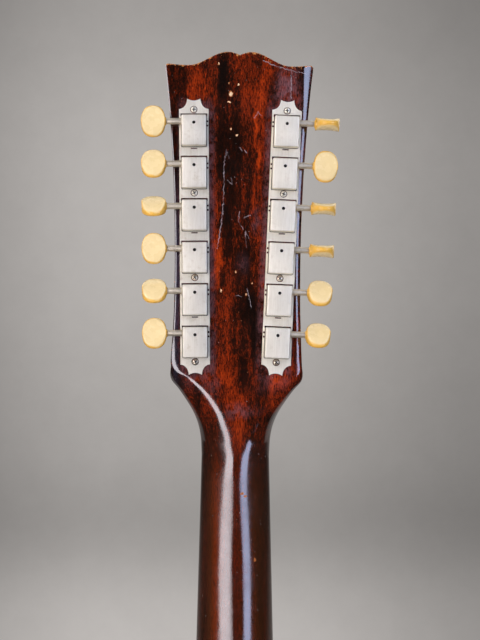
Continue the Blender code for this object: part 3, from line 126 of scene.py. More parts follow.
HEEL_DEPTH = 0.0440
HEEL_LENGTH = 0.0360
TENON_DEPTH = 0.0280
SEAT_GAP = 0.0003
# Uneven stain on the headstock's back: x, z, half width, half height, and how much redder or darker
TONE_MARKS = (
    (0.0215, 0.2203, 0.0054, 0.0133, 0.10), (0.0305, 0.2185, 0.0030, 0.0109, 0.06),
    (0.0089, 0.2245, 0.0076, 0.0186, -0.11), (-0.0045, 0.2125, 0.0048, 0.0151, 0.05),
    (-0.0135, 0.2161, 0.0054, 0.0157, 0.08), (-0.0185, 0.2180, 0.0050, 0.0140, -0.06),
    (-0.0101, 0.1962, 0.0019, 0.0181, 0.18), (-0.0121, 0.1763, 0.0016, 0.0145, 0.15),
    (0.0048, 0.1811, 0.0112, 0.0398, -0.11), (0.0068, 0.1376, 0.0069, 0.0398, -0.09),
    (-0.0030, 0.1238, 0.0062, 0.0365, -0.06), (0.0145, 0.1600, 0.0032, 0.0400, 0.07),
    (0.0122, 0.1290, 0.0062, 0.0350, 0.12), (-0.0040, 0.0800, 0.0095, 0.0340, -0.13),
    (-0.0005, 0.0590, 0.0060, 0.0120, -0.09), (0.0060, 0.0500, 0.0050, 0.0090, -0.07),
    (0.0080, 0.0730, 0.0050, 0.0200, -0.07), (-0.0088, 0.1479, 0.0030, 0.0241, 0.06),
    (0.0119, 0.1117, 0.0036, 0.0217, 0.17), (0.0092, 0.0773, 0.0054, 0.0253, 0.10),
    (-0.0031, 0.1135, 0.0069, 0.0146, -0.08), (-0.0052, 0.0894, 0.0069, 0.0239, -0.08),
    (-0.0120, 0.0713, 0.0048, 0.0299, -0.09), (0.0064, 0.0471, 0.0072, 0.0145, 0.12),
    (-0.0250, 0.0429, 0.0084, 0.0072, 0.13), (-0.0039, 0.0447, 0.0055, 0.0146, -0.09),
    (-0.0012, 0.0109, 0.0078, 0.0145, 0.10), (0.0000, 0.0290, 0.0130, 0.0100, 0.08),
    (0.0221, 0.0423, 0.0091, 0.0054, 0.08),
)
# Cloudy patches in the lacquer, in the same order; the first, at the bass wing's top corner, is a painted
# reflection of a lamp
HAZE_AND_REFLECTION_MARKS = (
    (-0.0285, 0.2185, 0.0110, 0.0180, 0.90), (-0.0365, 0.1900, 0.0055, 0.0400, 0.60),
    (-0.0113, 0.1377, 0.0042, 0.0109, 0.42), (-0.0031, 0.1123, 0.0060, 0.0085, 0.24),
    (-0.0016, 0.0236, 0.0160, 0.0070, 0.46), (0.0143, 0.0387, 0.0060, 0.0109, 0.28),
)
# A blue-grey painted reflection down the treble wing, the sheen of a lamp along its edge: x, z, half width
# and half height
TREBLE_WING_PAINTED_REFLECTION = (0.0368, 0.0950, 0.0034, 0.0850)
# The neck's stain across its back, from the treble edge to the bass edge: x and colour; the bright red band
# at x 0.012, beside the treble highlight, is a painted glow of that highlight
NECK_STAIN_AND_GLOW = (
    (0.0220, (0.0240, 0.0120, 0.0065)),
    (0.0172, (0.0260, 0.0110, 0.0050)),
    (0.0145, (0.0700, 0.0200, 0.0045)),
    (0.0120, (0.1700, 0.0230, 0.0010)),
    (0.0075, (0.0950, 0.0130, 0.0014)),
    (0.0027, (0.0430, 0.0056, 0.0010)),
    (-0.0010, (0.0400, 0.0058, 0.0010)),
    (-0.0085, (0.0480, 0.0130, 0.0010)),
    (-0.0215, (0.0330, 0.0120, 0.0030)),
)
# Chips: x, z, half width and half height
CHIPS = (
    (0.0052, 0.2149, 0.0019, 0.0028), (0.0063, 0.2098, 0.0014, 0.0009),
    (0.0128, 0.2330, 0.0007, 0.0014), (0.0008, 0.2206, 0.0011, 0.0009),
    (0.0064, 0.2212, 0.0008, 0.0007), (0.0049, 0.1938, 0.0008, 0.0014),
    (0.0013, 0.1901, 0.0009, 0.0011), (0.0010, 0.1075, 0.0008, 0.0015),
    (-0.0087, 0.1008, 0.0012, 0.0011), (0.0101, 0.0960, 0.0009, 0.0015),
    (-0.0053, 0.0939, 0.0009, 0.0014), (-0.0038, -0.0260, 0.0018, 0.0011),
    (-0.0058, -0.0272, 0.0018, 0.0010), (-0.0114, -0.0648, 0.0007, 0.0014),
)
# Scratches, as chains of (x, z) points
SCRATCHES = (
    (
        (0.0075, 0.1811), (0.0089, 0.1720), (0.0088, 0.1570), (0.0096, 0.1419), (0.0112, 0.1298),
        (0.0126, 0.1213),
    ),
    ((0.0078, 0.1811), (0.0060, 0.1763)),
    ((-0.0007, 0.1437), (-0.0002, 0.1376), (-0.0029, 0.1334)),
    ((-0.0042, 0.1322), (-0.0052, 0.1220)),
    ((-0.0042, 0.1322), (-0.0066, 0.1280)),
    ((-0.0057, 0.0978), (-0.0083, 0.0863)),
    ((0.0015, 0.0930), (-0.0022, 0.0930)),
    ((-0.0092, 0.2004), (-0.0112, 0.2040), (-0.0137, 0.2016)),
    ((-0.0006, 0.1826), (-0.0018, 0.1808)),
    ((-0.0035, 0.1808), (-0.0049, 0.1793)),
    ((0.0070, 0.1630), (0.0040, 0.1600), (0.0046, 0.1642)),
    ((-0.0312, 0.2306), (-0.0311, 0.2125)),
    ((-0.0071, 0.1419), (-0.0035, 0.1401)),
    ((-0.0139, 0.2354), (-0.0194, 0.2330), (-0.0261, 0.2306), (-0.0400, 0.2276)),
)
PITCH = 0.0254
ROW_CENTRE = (0.0262, 0.0145, 0.1257)
ROW_LEAN = math.radians(1.42)
ROW_SKEW = math.radians(-0.49)
PLATE_THICKNESS = 0.0008
PLATE_HALF_WIDTH = 0.0089
PLATE_TOP_REACH = 0.0223
PLATE_BOTTOM_REACH = 0.0170
PLATE_TIP_HALF_WIDTH = 0.0040
PLATE_SCALLOP = 0.0062
PLATE_TIP_DIP = 0.0012
COVER_WIDTH = 0.0149
COVER_LENGTH = 0.0185
COVER_HEIGHT = 0.0074
COVER_ABOVE_POST = 0.00265
SHAFT_ABOVE_POST = 0.0082
SHAFT_HEIGHT = 0.0040
OIL_HOLE_RADIUS = 0.0010
BUTTON_START = 0.0170
BUTTON_LENGTH = 0.0146
BUTTON_HALF_HEIGHT = 0.0096
BUTTON_HALF_THICKNESS = 0.0032
BUTTON_END_FLARE = 0.0008
BUTTON_TURNS = {
    "treble": (4.0, 25.0, 52.0, 12.0, 43.0, 18.0),
    "bass": (88.0, 3.0, 86.0, -87.0, 39.0, 44.0),
}
STRIP_SCREW_RADIUS = 0.0018
STRIP_SCREW_Z = (0.0793, 0.0291, -0.0219, -0.0726)
GLUE_LINE = 0.0001
POST_HEIGHT = 0.0110
STRING_HOLE_HEIGHT = 0.0050
BUSHING_BORE = 0.0034
STRING_RADII = (
    (0.00058, 0.00033), (0.00046, 0.00022), (0.00033, 0.00015), (0.00022, 0.00012), (0.00017, 0.00017),
    (0.00013, 0.00013),
)
FRETS = 22
DOT_FRETS = (3, 5, 7, 9, 12, 15, 17, 19, 21)
FINGERBOARD_THICKNESS = 0.0060
FINGERBOARD_RADIUS = 0.3048
FRET_HEIGHT = 0.0011
FRET_WIDTH = 0.0024
BINDING_WIDTH = 0.0014
BINDING_DEPTH = 0.0050
TRUSS_COVER_THICKNESS = 0.0016
TRUSS_COVER_OUTLINE = (
    (-0.0105, 0.0040), (0.0105, 0.0040), (0.0100, 0.0110), (0.0068, 0.0180), (0.0060, 0.0260),
    (0.0042, 0.0330), (0.0000, 0.0370), (-0.0042, 0.0330), (-0.0060, 0.0260), (-0.0068, 0.0180),
    (-0.0100, 0.0110),
)
TRUSS_COVER_SCREWS = ((-0.0072, 0.0080), (0.0072, 0.0080), (0.0, 0.0315))
BODY_JOINT_GAP = 0.0013
BODY_LENGTH = 0.3850
BODY_HALF_WIDTH = 0.1715
BODY_EDGE_Y = 0.0095
BODY_BACK_Y = 0.0495
ARCH_HEIGHT = 0.0080
ARCH_WIDTH = 0.0450
ARCH_FLAT_RIM = 0.0060
BODY_BACK_ROUND = 0.0060
BODY_POINTS = 200
BODY_OUTLINE = (
    (0.000, 0.000), (0.362, 0.010), (0.717, 0.070), (0.945, 0.184), (1.000, 0.317), (0.910, 0.478),
    (0.735, 0.626), (0.676, 0.725), (0.723, 0.829), (0.776, 0.925), (0.764, 1.023), (0.671, 1.091),
    (0.560, 1.107), (0.467, 1.075), (0.397, 1.021), (0.315, 0.982), (0.222, 0.979), (0.140, 0.995),
    (0.000, 1.000),
)
NECK_JOINT_ARCH = ((0.280, 1.031), (0.233, 1.096), (0.000, 1.109))
PICKUPS = ("neck_pickup", "bridge_pickup")
COURSE_PITCHES = {"neck": 0.0096, "bridge": 0.0104}
PICKUP_HALF_LENGTH = 0.0345
PICKUP_HALF_WIDTH = 0.0190
PICKUP_RING_HALF_LENGTH = 0.0455
PICKUP_RING_HEIGHT = 0.0055
BRIDGE_HALF_LENGTH = 0.0440
BRIDGE_HALF_WIDTH = 0.0060
BRIDGE_BAR_HEIGHT = 0.0060
BRIDGE_POST_X = 0.0375
THUMBWHEEL_RADIUS = 0.0070
STRING_RISE_AT_BRIDGE = 0.0112
STRING_GAP_AT_BRIDGE = 0.0026
TAILPIECE_HALF_LENGTH = 0.0500
TAILPIECE_RADIUS = 0.0060
TAILPIECE_LIFT = 0.0012
TAILPIECE_STUD_X = 0.0415
PICKGUARD_THICKNESS = 0.0025
PICKGUARD_WIDTH = 0.0420
PICKGUARD_TO_PICKUPS = 0.0025
PICKGUARD_OUTLINE = (
    (0.00, 0.01), (0.28, 0.05), (0.57, 0.26), (0.88, 0.57), (1.00, 0.89), (0.48, 1.00), (0.00, 1.00),
    (0.00, 0.68), (0.00, 0.34),
)
PICKGUARD_SPACERS = ((0.26, 0.21), (0.57, 0.86))
CONTROL_INSET = 0.0715
CONTROL_RISE = 0.1250
KNOBS = ("neck_volume_knob", "neck_tone_knob", "bridge_volume_knob", "bridge_tone_knob")
KNOB_RADIUS = 0.0125
KNOB_TOP_RADIUS = 0.0090
KNOB_HEIGHT = 0.0150
KNOB_SHAFT_RADIUS = 0.0030
SELECTOR_BALL_RADIUS = 0.0040
CAVITY_OFFSETS = (
    (-0.0420, 0.0360), (-0.0100, 0.0840), (0.0240, 0.0840), (0.0430, 0.0040), (0.0280, -0.0760),
    (-0.0120, -0.0800), (-0.0440, -0.0500),
)
CONTROL_COVER_THICKNESS = 0.0020
CONTROL_COVER_LEDGE = 0.0050
JACK_PLATE_HALF_SIZE = 0.0140
JACK_PLATE_THICKNESS = 0.0015
JACK_BUSH_REACH = 0.0030
STRAP_BUTTON_LENGTH = 0.0115
SIDES = {"treble": 1, "bass": -1}


# The camera, at the photo's angle: square on to the back of the headstock


HEADSTOCK = Matrix.Translation((0, 0, NUT_THICKNESS)) @ Matrix.Rotation(-HEADSTOCK_ANGLE, 4, "X")
CAMERA_TARGET = Vector((-0.0017, 0.0145, 0.0785))
CAMERA_DISTANCE = 0.7585
CAMERA_TURN = Matrix.Rotation(math.radians(-1.47), 3, "Z") @ Matrix.Rotation(math.radians(0.60), 3, "Y")
CAMERA_LENS = 70.7
SENSOR_WIDTH = 36.0


def camera_frame():
    """The camera's place and axes: looking back along the headstock's own depth."""
    right, up, back = (CAMERA_TURN @ Vector(axis) for axis in ((-1, 0, 0), (0, 0, 1), (0, 1, 0)))
    turn = Matrix((right, up, back)).transposed().to_4x4()
    return HEADSTOCK @ Matrix.Translation(CAMERA_TARGET + back * CAMERA_DISTANCE) @ turn


CAMERA = bpy.data.objects.new("camera", bpy.data.cameras.new("camera"))
bpy.context.scene.collection.objects.link(CAMERA)
CAMERA.data.lens = CAMERA_LENS
CAMERA.data.sensor_width = SENSOR_WIDTH
CAMERA.data.clip_start = 0.01
CAMERA.matrix_world = camera_frame()
bpy.context.scene.camera = CAMERA
bpy.context.scene.view_settings.view_transform = "Standard"


# Materials


class Nodes:
    """A node tree in the making: each call adds nodes and returns an output socket."""

    def __init__(self, tree, coordinates):
        self.tree = tree
        self.where = self.add("ShaderNodeTexCoord").outputs[coordinates]

    def add(self, kind, inputs=None, **settings):
        node = self.tree.nodes.new(kind)
        for key, value in settings.items():
            setattr(node, key, value)
        for key, value in (inputs or {}).items():
            self.feed(node.inputs[key], value)
        return node

    def feed(self, socket, value):
        if isinstance(value, bpy.types.NodeSocket):
            self.tree.links.new(value, socket)
        else:
            socket.default_value = value

    def math(self, operation, a, b=None, c=None, clamp=False):
        node = self.add("ShaderNodeMath", operation=operation, use_clamp=clamp)
        for socket, value in zip(node.inputs, (a, b, c)):
            if value is not None:
                self.feed(socket, value)
        return node.outputs[0]

    def span(self, value, low, high, out_low=0.0, out_high=1.0, smooth=True):
        """Maps low..high to out_low..out_high, clamped."""
        node = self.add("ShaderNodeMapRange", interpolation_type="SMOOTHSTEP" if smooth else "LINEAR")
        for index, given in enumerate((value, low, high, out_low, out_high)):
            self.feed(node.inputs[index], given)
        return node.outputs[0]

    def stretch(self, scale, where=None, turn=(0, 0, 0), shift=(0, 0, 0)):
        inputs = {"Vector": where or self.where, "Scale": scale, "Rotation": turn, "Location": shift}
        return self.add("ShaderNodeMapping", inputs).outputs[0]

    def noise(self, scale, detail=3.0, where=None, rough=0.5, distort=0.0):
        inputs = {"Vector": where or self.where, "Scale": scale, "Detail": detail, "Roughness": rough}
        return self.add("ShaderNodeTexNoise", {**inputs, "Distortion": distort}).outputs["Fac"]

    def cells(self, scale, where=None):
        inputs = {"Vector": where or self.where, "Scale": scale}
        return self.add("ShaderNodeTexVoronoi", inputs).outputs["Distance"]

    def ramp(self, value, *stops, interpolation="LINEAR"):
        """A colour ramp through (place, colour) stops."""
        node = self.add("ShaderNodeValToRGB", {"Fac": value})
        node.color_ramp.interpolation = interpolation
        elements = node.color_ramp.elements
        while len(elements) < len(stops):
            elements.new(0.5)
        for element, (place, colour) in zip(elements, stops):
            element.position = place
            element.color = (*colour, 1.0)
        return node.outputs["Color"]

    def blend(self, share, a, b):
        node = self.add("ShaderNodeMix", data_type="RGBA")
        for key, value in (("Factor_Float", share), ("A_Color", a), ("B_Color", b)):
            socket = next(s for s in node.inputs if s.identifier == key)
            self.feed(socket, (*value, 1.0) if isinstance(value, tuple) else value)
        return next(s for s in node.outputs if s.identifier == "Result_Color")

    def ramp_blend(self, share, inner, outer):
        """Inner colour, then the outer one, then a nearly black one, as the share goes from 0 to 1."""
        middle = self.blend(self.span(share, 0.05, 0.60), inner, outer)
        return self.blend(self.span(share, 0.55, 1.0, 0.0, 0.80), middle, (0.010, 0.0045, 0.0035))

    def attribute(self, name):
        return self.add("ShaderNodeAttribute", attribute_name=name).outputs["Fac"]

    def bump(self, height, depth, strength=1.0, normal=None):
        node = self.add("ShaderNodeBump", {"Height": height, "Distance": depth, "Strength": strength})
        if normal is not None:
            self.feed(node.inputs["Normal"], normal)
        return node.outputs["Normal"]

    def vector(self, operation, a, b=None, scale=None, output="Vector"):
        node = self.add("ShaderNodeVectorMath", {0: a}, operation=operation)
        if b is not None:
            self.feed(node.inputs[1], b)
        if scale is not None:
            self.feed(node.inputs["Scale"], scale)
        return node.outputs[output]

    def patch(self, where, x, z, half_x, half_z, amount):
        """An amount in the middle of an upright oval, fading to nothing at its rim."""
        offset = self.vector("SUBTRACT", where, (x, 0, z))
        scaled = self.vector("MULTIPLY", offset, (1 / half_x, 0, 1 / half_z))
        return self.span(self.vector("LENGTH", scaled, output="Value"), 0.0, 1.1, amount, 0.0)

    def stroke(self, where, points):
        """Distance from a chain of (x, z) points."""
        nearest = None
        for (ax, az), (bx, bz) in zip(points, points[1:]):
            along = Vector((bx - ax, 0, bz - az))
            offset = self.vector("SUBTRACT", where, (ax, 0, az))
            share = self.vector("DOT_PRODUCT", offset, along / along.length_squared, output="Value")
            share = self.math("MULTIPLY", share, 1.0, clamp=True)
            reached = self.vector("SCALE", along, scale=share)
            gap = self.vector("DISTANCE", offset, reached, output="Value")
            nearest = gap if nearest is None else self.math("MINIMUM", nearest, gap)
        return nearest

    def mix(self, share, first, second):
        return self.add("ShaderNodeMixShader", {0: share, 1: first, 2: second}).outputs[0]


class Look(Nodes):
    """A material in the making."""

    def __init__(self, name):
        self.material = bpy.data.materials.new(name)
        self.material.use_nodes = True
        self.shader = self.material.node_tree.nodes["Principled BSDF"]
        super().__init__(self.material.node_tree, "Object")

    def set(self, **sockets):
        """Feeds the shader's own sockets: base_color=..., roughness=..., and so on."""
        for key, value in sockets.items():
            name = key.replace("_", " ").title().replace("Ior", "IOR")
            if isinstance(value, tuple):
                value = (*value, 1.0)
            self.feed(self.shader.inputs[name], value)
        return self


def metal(name, colour, roughness, spread=0.06, tarnish=(0.30, 0.24, 0.15), share=0.25, brush=None, bare=1.0):
    """Bare or plated metal with tarnish, smudges and a grain if it is brushed."""
    look = Look(name)
    smudge = look.noise(90.0, 4.0, rough=0.6)
    patches = look.noise(320.0, 5.0, rough=0.65)
    base = look.blend(look.span(patches, 0.50, 0.78, 0.0, share), colour, tarnish)
    rough = look.span(smudge, 0.3, 0.7, roughness - spread, roughness + spread)
    height = look.noise(900.0, 3.0)
    depth = 0.00002
    if brush:
        grain = look.noise(1.0, 4.0, where=look.stretch(brush), rough=0.7)
        height = grain
        base = look.blend(look.span(grain, 0.35, 0.65, 0.0, 0.16), base, tarnish)
        depth = 0.00004
    look.set(base_color=base, metallic=bare, roughness=rough, normal=look.bump(height, depth, 0.5))
    return look.material


def plastic(name, colour, darker, roughness, rim=None, spots=0.0, scuffs=0.4):
    """Moulded plastic: cloudy depth, faint scuffs and, with a rim attribute, aged edges."""
    look = Look(name)
    cloud = look.noise(120.0, 4.0)
    base = look.blend(look.span(cloud, 0.30, 0.75), colour, darker)
    if rim:
        worn = look.math("ADD", look.attribute("rim"), look.span(cloud, 0.3, 0.7, -0.18, 0.18))
        base = look.blend(look.span(worn, 0.35, 0.90, 0.0, 0.95), base, rim)
    if spots:
        dots = look.span(look.cells(260.0), 0.05, 0.11, 1.0, 0.0)
        place = look.span(look.noise(60.0, 2.0), 0.60, 0.66)
        share = look.math("MULTIPLY", look.math("MULTIPLY", dots, place), spots)
        base = look.blend(share, base, (0.22, 0.11, 0.03))
    scuff = look.noise(1.0, 4.0, where=look.stretch((900, 900, 160)), rough=0.7)
    rough = look.span(look.noise(240.0, 4.0), 0.3, 0.75, roughness - 0.12 * scuffs, roughness + 0.30 * scuffs)
    look.set(base_color=base, roughness=rough, normal=look.bump(scuff, 0.00002, scuffs))
    return look.material


def into_headstock(look):
    """Coordinates that run along the headstock above the nut and along the neck below it."""
    tilt = Matrix.Rotation(HEADSTOCK_ANGLE, 3, "X")
    shift = -(tilt @ Vector((0, 0, NUT_THICKNESS)))
    inner = look.stretch((1, 1, 1), turn=(HEADSTOCK_ANGLE, 0, 0), shift=shift)
    height = look.add("ShaderNodeSeparateXYZ", {0: look.where}).outputs["Z"]
    mix = look.add("ShaderNodeMix", data_type="VECTOR")
    share = look.span(height, -0.006, 0.012)
    for key, value in (("Factor_Float", share), ("A_Vector", look.where), ("B_Vector", inner)):
        look.feed(next(s for s in mix.inputs if s.identifier == key), value)
    return next(s for s in mix.outputs if s.identifier == "Result_Vector")


def rosewood():
    """Oiled rosewood: dark streaks along the neck and open pores."""
    look = Look("rosewood")
    streaks = look.noise(1.0, 5.0, where=look.stretch((260, 260, 10)), rough=0.65, distort=0.5)
    dark, middle, light = (0.010, 0.005, 0.004), (0.045, 0.019, 0.011), (0.105, 0.046, 0.024)
    base = look.ramp(streaks, (0.34, dark), (0.50, middle), (0.66, light))
    pores = look.noise(1.0, 3.0, where=look.stretch((1700, 1700, 90)), rough=0.75)
    open_pore = look.span(pores, 0.56, 0.66)
    base = look.blend(look.math("MULTIPLY", open_pore, 0.8), base, (0.006, 0.004, 0.003))
    height = look.math("MULTIPLY", open_pore, -1.0)
    rough = look.span(look.noise(60.0), 0.3, 0.7, 0.42, 0.58)
    return look.set(base_color=base, roughness=rough, normal=look.bump(height, 0.00006, 0.7)).material


def haze_beside_strips(look, where):
    """Old polish haze along the inner edge of each tuner strip."""
    split = look.add("ShaderNodeSeparateXYZ", {0: where}).outputs
    total = None
    for sign in SIDES.values():
        lean = math.tan(sign * ROW_LEAN + ROW_SKEW)
        foot = sign * (ROW_CENTRE[0] - PLATE_HALF_WIDTH) - lean * ROW_CENTRE[2]
        edge = look.math("MULTIPLY_ADD", split["Z"], lean, foot)
        inside = look.math("MULTIPLY", look.math("SUBTRACT", edge, split["X"]), float(sign))
        near = look.span(inside, 0.0, 0.0050, 1.0, 0.0)
        share = look.math("MULTIPLY", near, look.span(inside, -0.0200, -0.0150))
        total = share if total is None else look.math("MAXIMUM", total, share)
    foot, top = look.span(split["Z"], 0.030, 0.060), look.span(split["Z"], 0.200, 0.215, 1.0, 0.0)
    return look.math("MULTIPLY", total, look.math("MULTIPLY", foot, top))


def lacquer_damage(look, where, base, on_neck):
    """Chips down to pale wood and fine scratches, at the places where the photo shows them."""
    shaken = look.add("ShaderNodeTexNoise", {"Vector": where, "Scale": 620.0})
    offset = look.vector("SUBTRACT", shaken.outputs["Color"], (0.5, 0.5, 0.5))
    where = look.vector("ADD", where, look.vector("SCALE", offset, scale=0.0022))
    chipped = None
    for chip in CHIPS:
        share = look.patch(where, *chip, 1.0)
        chipped = share if chipped is None else look.math("MAXIMUM", chipped, share)
    ragged = look.noise(750.0, 3.0, where, rough=0.7)
    chipped = look.math("MULTIPLY", chipped, look.span(ragged, 0.25, 0.75, 0.35, 1.75))
    inner = look.math("MULTIPLY", look.span(chipped, 0.55, 0.80), look.math("SUBTRACT", 1.0, on_neck))
    chipped = look.span(chipped, 0.30, 0.45)
    base = look.blend(chipped, base, look.blend(inner, (0.36, 0.11, 0.025), (0.80, 0.56, 0.33)))
    flat = look.vector("MULTIPLY", where, (1, 0, 1))
    nearest = None
    for points in SCRATCHES:
        gap = look.stroke(flat, points)
        nearest = gap if nearest is None else look.math("MINIMUM", nearest, gap)
    broken = look.span(look.noise(260.0, 3.0, where), 0.36, 0.60, 0.12, 0.66)
    scratched = look.math("MULTIPLY", look.span(nearest, 0.00008, 0.00034, 1.0, 0.0), broken)
    base = look.blend(scratched, base, (0.42, 0.36, 0.38))
    return base, look.math("MAXIMUM", chipped, look.math("MULTIPLY", scratched, 0.5))


def stained_wood(name, shade=1.0, headstock=False, burst=False):
    """Red-brown stained mahogany under old gloss lacquer, with pores, streaks, specks and worn edges."""
    look = Look(name)
    where = into_headstock(look) if headstock else look.where
    if headstock:
        wander = look.add("ShaderNodeTexNoise", {"Vector": where, "Scale": 160.0})
        shift = look.vector("SUBTRACT", wander.outputs["Color"], (0.5, 0.5, 0.5))
        around = look.vector("ADD", where, look.vector("SCALE", shift, scale=0.0055))
    broad = look.noise(1.0, 3.0, where=look.stretch((120, 120, 12), where), rough=0.6, distort=0.4)
    mottle = look.noise(1.0, 5.0, where=look.stretch((1000, 1000, 320), where), rough=0.85, distort=0.3)
    tone = look.math("ADD", look.math("MULTIPLY", broad, 0.38), look.math("MULTIPLY", mottle, 0.62))
    for mark in TONE_MARKS if headstock else ():
        tone = look.math("ADD", tone, look.patch(around, *mark))
    s = shade
    if headstock:
        split = look.add("ShaderNodeSeparateXYZ", {0: where}).outputs
        on_neck = look.span(split["Z"], -0.030, 0.026, 1.0, 0.0)
        calm = look.math("SUBTRACT", 1.0, look.math("MULTIPLY", on_neck, 0.40))
        tone = look.math("MULTIPLY_ADD", look.math("SUBTRACT", tone, 0.5), calm, 0.5)
    base = look.ramp(
        tone,
        (0.38, (0.0050 * s, 0.0016 * s, 0.0009 * s)),
        (0.45, (0.0220 * s, 0.0042 * s, 0.0014 * s)),
        (0.50, (0.0780 * s, 0.0092 * s, 0.0016 * s)),
        (0.56, (0.1950 * s, 0.0175 * s, 0.0024 * s)),
        (0.66, (0.4300 * s, 0.0430 * s, 0.0040 * s)),
    )
    if burst:
        cloudy = look.math("ADD", look.attribute("burst"), look.span(broad, 0.3, 0.7, -0.10, 0.10))
        warm = look.blend(0.62, base, (0.30, 0.075, 0.016))
        base = look.ramp_blend(cloudy, warm, base)
    if headstock:
        left, right = NECK_STAIN_AND_GLOW[0][0], NECK_STAIN_AND_GLOW[-1][0]
        fray = look.span(mottle, 0.3, 0.7, -0.0012, 0.0012)
        across = look.span(look.math("ADD", split["X"], fray), left, right, smooth=False)
        # Stain across the neck, with a red band beside the treble highlight painted in as its glow
        stain = look.ramp(across, *(((left - x) / (left - right), colour) for x, colour in NECK_STAIN_AND_GLOW))
        base = look.blend(look.math("MULTIPLY", on_neck, 0.70), base, stain)
        # Painted shade: the flanks darken as they turn away from the flat of the back
        base = look.blend(look.attribute("side"), base, look.blend(0.20, (0.0110, 0.0056, 0.0036), base))
        haze_and_reflection = look.math("MULTIPLY", haze_beside_strips(look, where), 0.80)
        for mark in HAZE_AND_REFLECTION_MARKS:
            haze_and_reflection = look.math("MAXIMUM", haze_and_reflection, look.patch(around, *mark))
        cloud = look.span(look.noise(230.0, 4.0, where, rough=0.65), 0.32, 0.62)
        # Painted reflection: a blue-grey sheen laid into the colour down the treble wing
        base = look.blend(look.patch(where, *TREBLE_WING_PAINTED_REFLECTION, 0.75), base, (0.042, 0.043, 0.072))
        # Pinkish-grey lacquer haze, with a painted reflection at the bass wing's top corner
        base = look.blend(look.math("MULTIPLY", haze_and_reflection, cloud), base, (0.190, 0.082, 0.090))
    pores = look.noise(1.0, 3.0, where=look.stretch((2000, 2000, 300), where), rough=0.75)
    dark_pore = look.span(pores, 0.49, 0.61, 0.0, 0.80)
    if headstock:
        dark_pore = look.math("MULTIPLY", dark_pore, calm)
    base = look.blend(dark_pore, base, (0.0055, 0.0022, 0.0014))
    specks = look.span(look.cells(170.0, where), 0.035, 0.060, 1.0, 0.0)
    where_specks = look.span(look.noise(45.0, 2.0, where), 0.52, 0.60)
    speck = look.math("MULTIPLY", specks, where_specks)
    if headstock:
        speck = look.math("MULTIPLY", speck, look.span(calm, 0.6, 1.0))
    base = look.blend(look.math("MULTIPLY", speck, 0.7), base, (0.34, 0.13, 0.06))
    dust = look.span(look.cells(330.0, where), 0.05, 0.08, 1.0, 0.0)
    dust = look.math("MULTIPLY", dust, look.span(look.noise(70.0, 2.0, where), 0.51, 0.58, 0.0, 0.60))
    base = look.blend(dust, base, (0.50, 0.44, 0.42))
    ragged = look.noise(420.0, 4.0, where, rough=0.7)
    worn = look.math("ADD", look.attribute("wear"), look.span(ragged, 0.25, 0.75, -0.45, 0.45))
    worn = look.span(worn, 0.46, 0.60)
    base = look.blend(worn, base, look.blend(ragged, (0.24, 0.055, 0.012), (0.62, 0.26, 0.07)))
    if headstock:
        base, damage = lacquer_damage(look, where, base, on_neck)
        worn = look.math("MAXIMUM", worn, damage)
    smudge = look.noise(38.0, 4.0, where, rough=0.6)
    rough = look.span(smudge, 0.35, 0.7, 0.10, 0.20)
    rough = look.math("ADD", rough, look.math("MULTIPLY", worn, 0.35), clamp=True)
    ripple = look.noise(1.0, 2.0, where=look.stretch((60, 60, 22), where))
    normal = look.bump(ripple, 0.00016, 0.5)
    normal = look.bump(pores, 0.00003, 0.5, normal)
    normal = look.bump(look.math("MULTIPLY", speck, -1.0), 0.00004, 0.6, normal)
    look.set(base_color=base, roughness=rough, normal=normal, specular_ior_level=0.1, coat_ior=1.68)
    dull = look.span(look.noise(55.0, 3.0, where, rough=0.6), 0.35, 0.65, 0.070, 0.150) if headstock else 0.07
    if headstock:
        dull = look.math("MULTIPLY_ADD", on_neck, 0.06, dull)
    fine = look.bump(look.noise(900.0, 3.0, where), 0.00003, 0.5)
    shine = look.bump(ripple, 0.00014, 0.5, fine)
    whole = look.span(damage, 0.5, 1.0, 1.0, 0.1) if headstock else 1.0
    return look.set(coat_weight=whole, coat_roughness=dull, coat_normal=shine).material


STRIP_GRAIN = (1500, 400, 70)
BRUSHED = metal("strip_nickel", (0.85, 0.815, 0.705), 0.50, 0.06, (0.46, 0.37, 0.21), 0.34, STRIP_GRAIN, 0.74)
# A lighter copy of the strip nickel for the bass strip: painted light for the side that the lamps reach
# better
LIT_SIDE_NICKEL = metal(
    "strip_nickel_painted_lit", (0.955, 0.905, 0.76), 0.50, 0.06, (0.52, 0.43, 0.27), 0.20, STRIP_GRAIN, 0.62
)
SHAFT = metal("shaft_nickel", (0.82, 0.745, 0.595), 0.42, tarnish=(0.34, 0.24, 0.13), share=0.40, bare=0.85)
NICKEL = metal("aged_nickel", (0.66, 0.62, 0.53), 0.30)
CHROME = metal("polished_nickel", (0.78, 0.75, 0.69), 0.16, spread=0.05, share=0.12)
RUSTY = metal("screw_metal", (0.80, 0.70, 0.56), 0.42, tarnish=(0.30, 0.08, 0.03), share=0.95)
FRET_METAL = metal("fret_metal", (0.80, 0.78, 0.72), 0.22, share=0.15)
STRING_METAL = metal("string_metal", (0.62, 0.59, 0.54), 0.30)
DARK = metal("recess_shadow", (0.020, 0.018, 0.016), 0.60, tarnish=(0.03, 0.015, 0.01))
BUTTON = plastic("aged_cream", (0.835, 0.65, 0.315), (0.865, 0.675, 0.34), 0.24, (0.80, 0.44, 0.06), 0.5)
CREAM = plastic("cream_plastic", (0.74, 0.66, 0.44), (0.66, 0.56, 0.34), 0.30)
BLACK = plastic("black_plastic", (0.018, 0.017, 0.017), (0.020, 0.019, 0.018), 0.26, scuffs=0.03)
BONE = plastic("bone", (0.72, 0.66, 0.50), (0.62, 0.54, 0.36), 0.36)
LACQUER = plastic("black_lacquer", (0.010, 0.009, 0.009), (0.015, 0.013, 0.012), 0.12, scuffs=0.08)
WOOD = stained_wood("stained_mahogany", headstock=True)
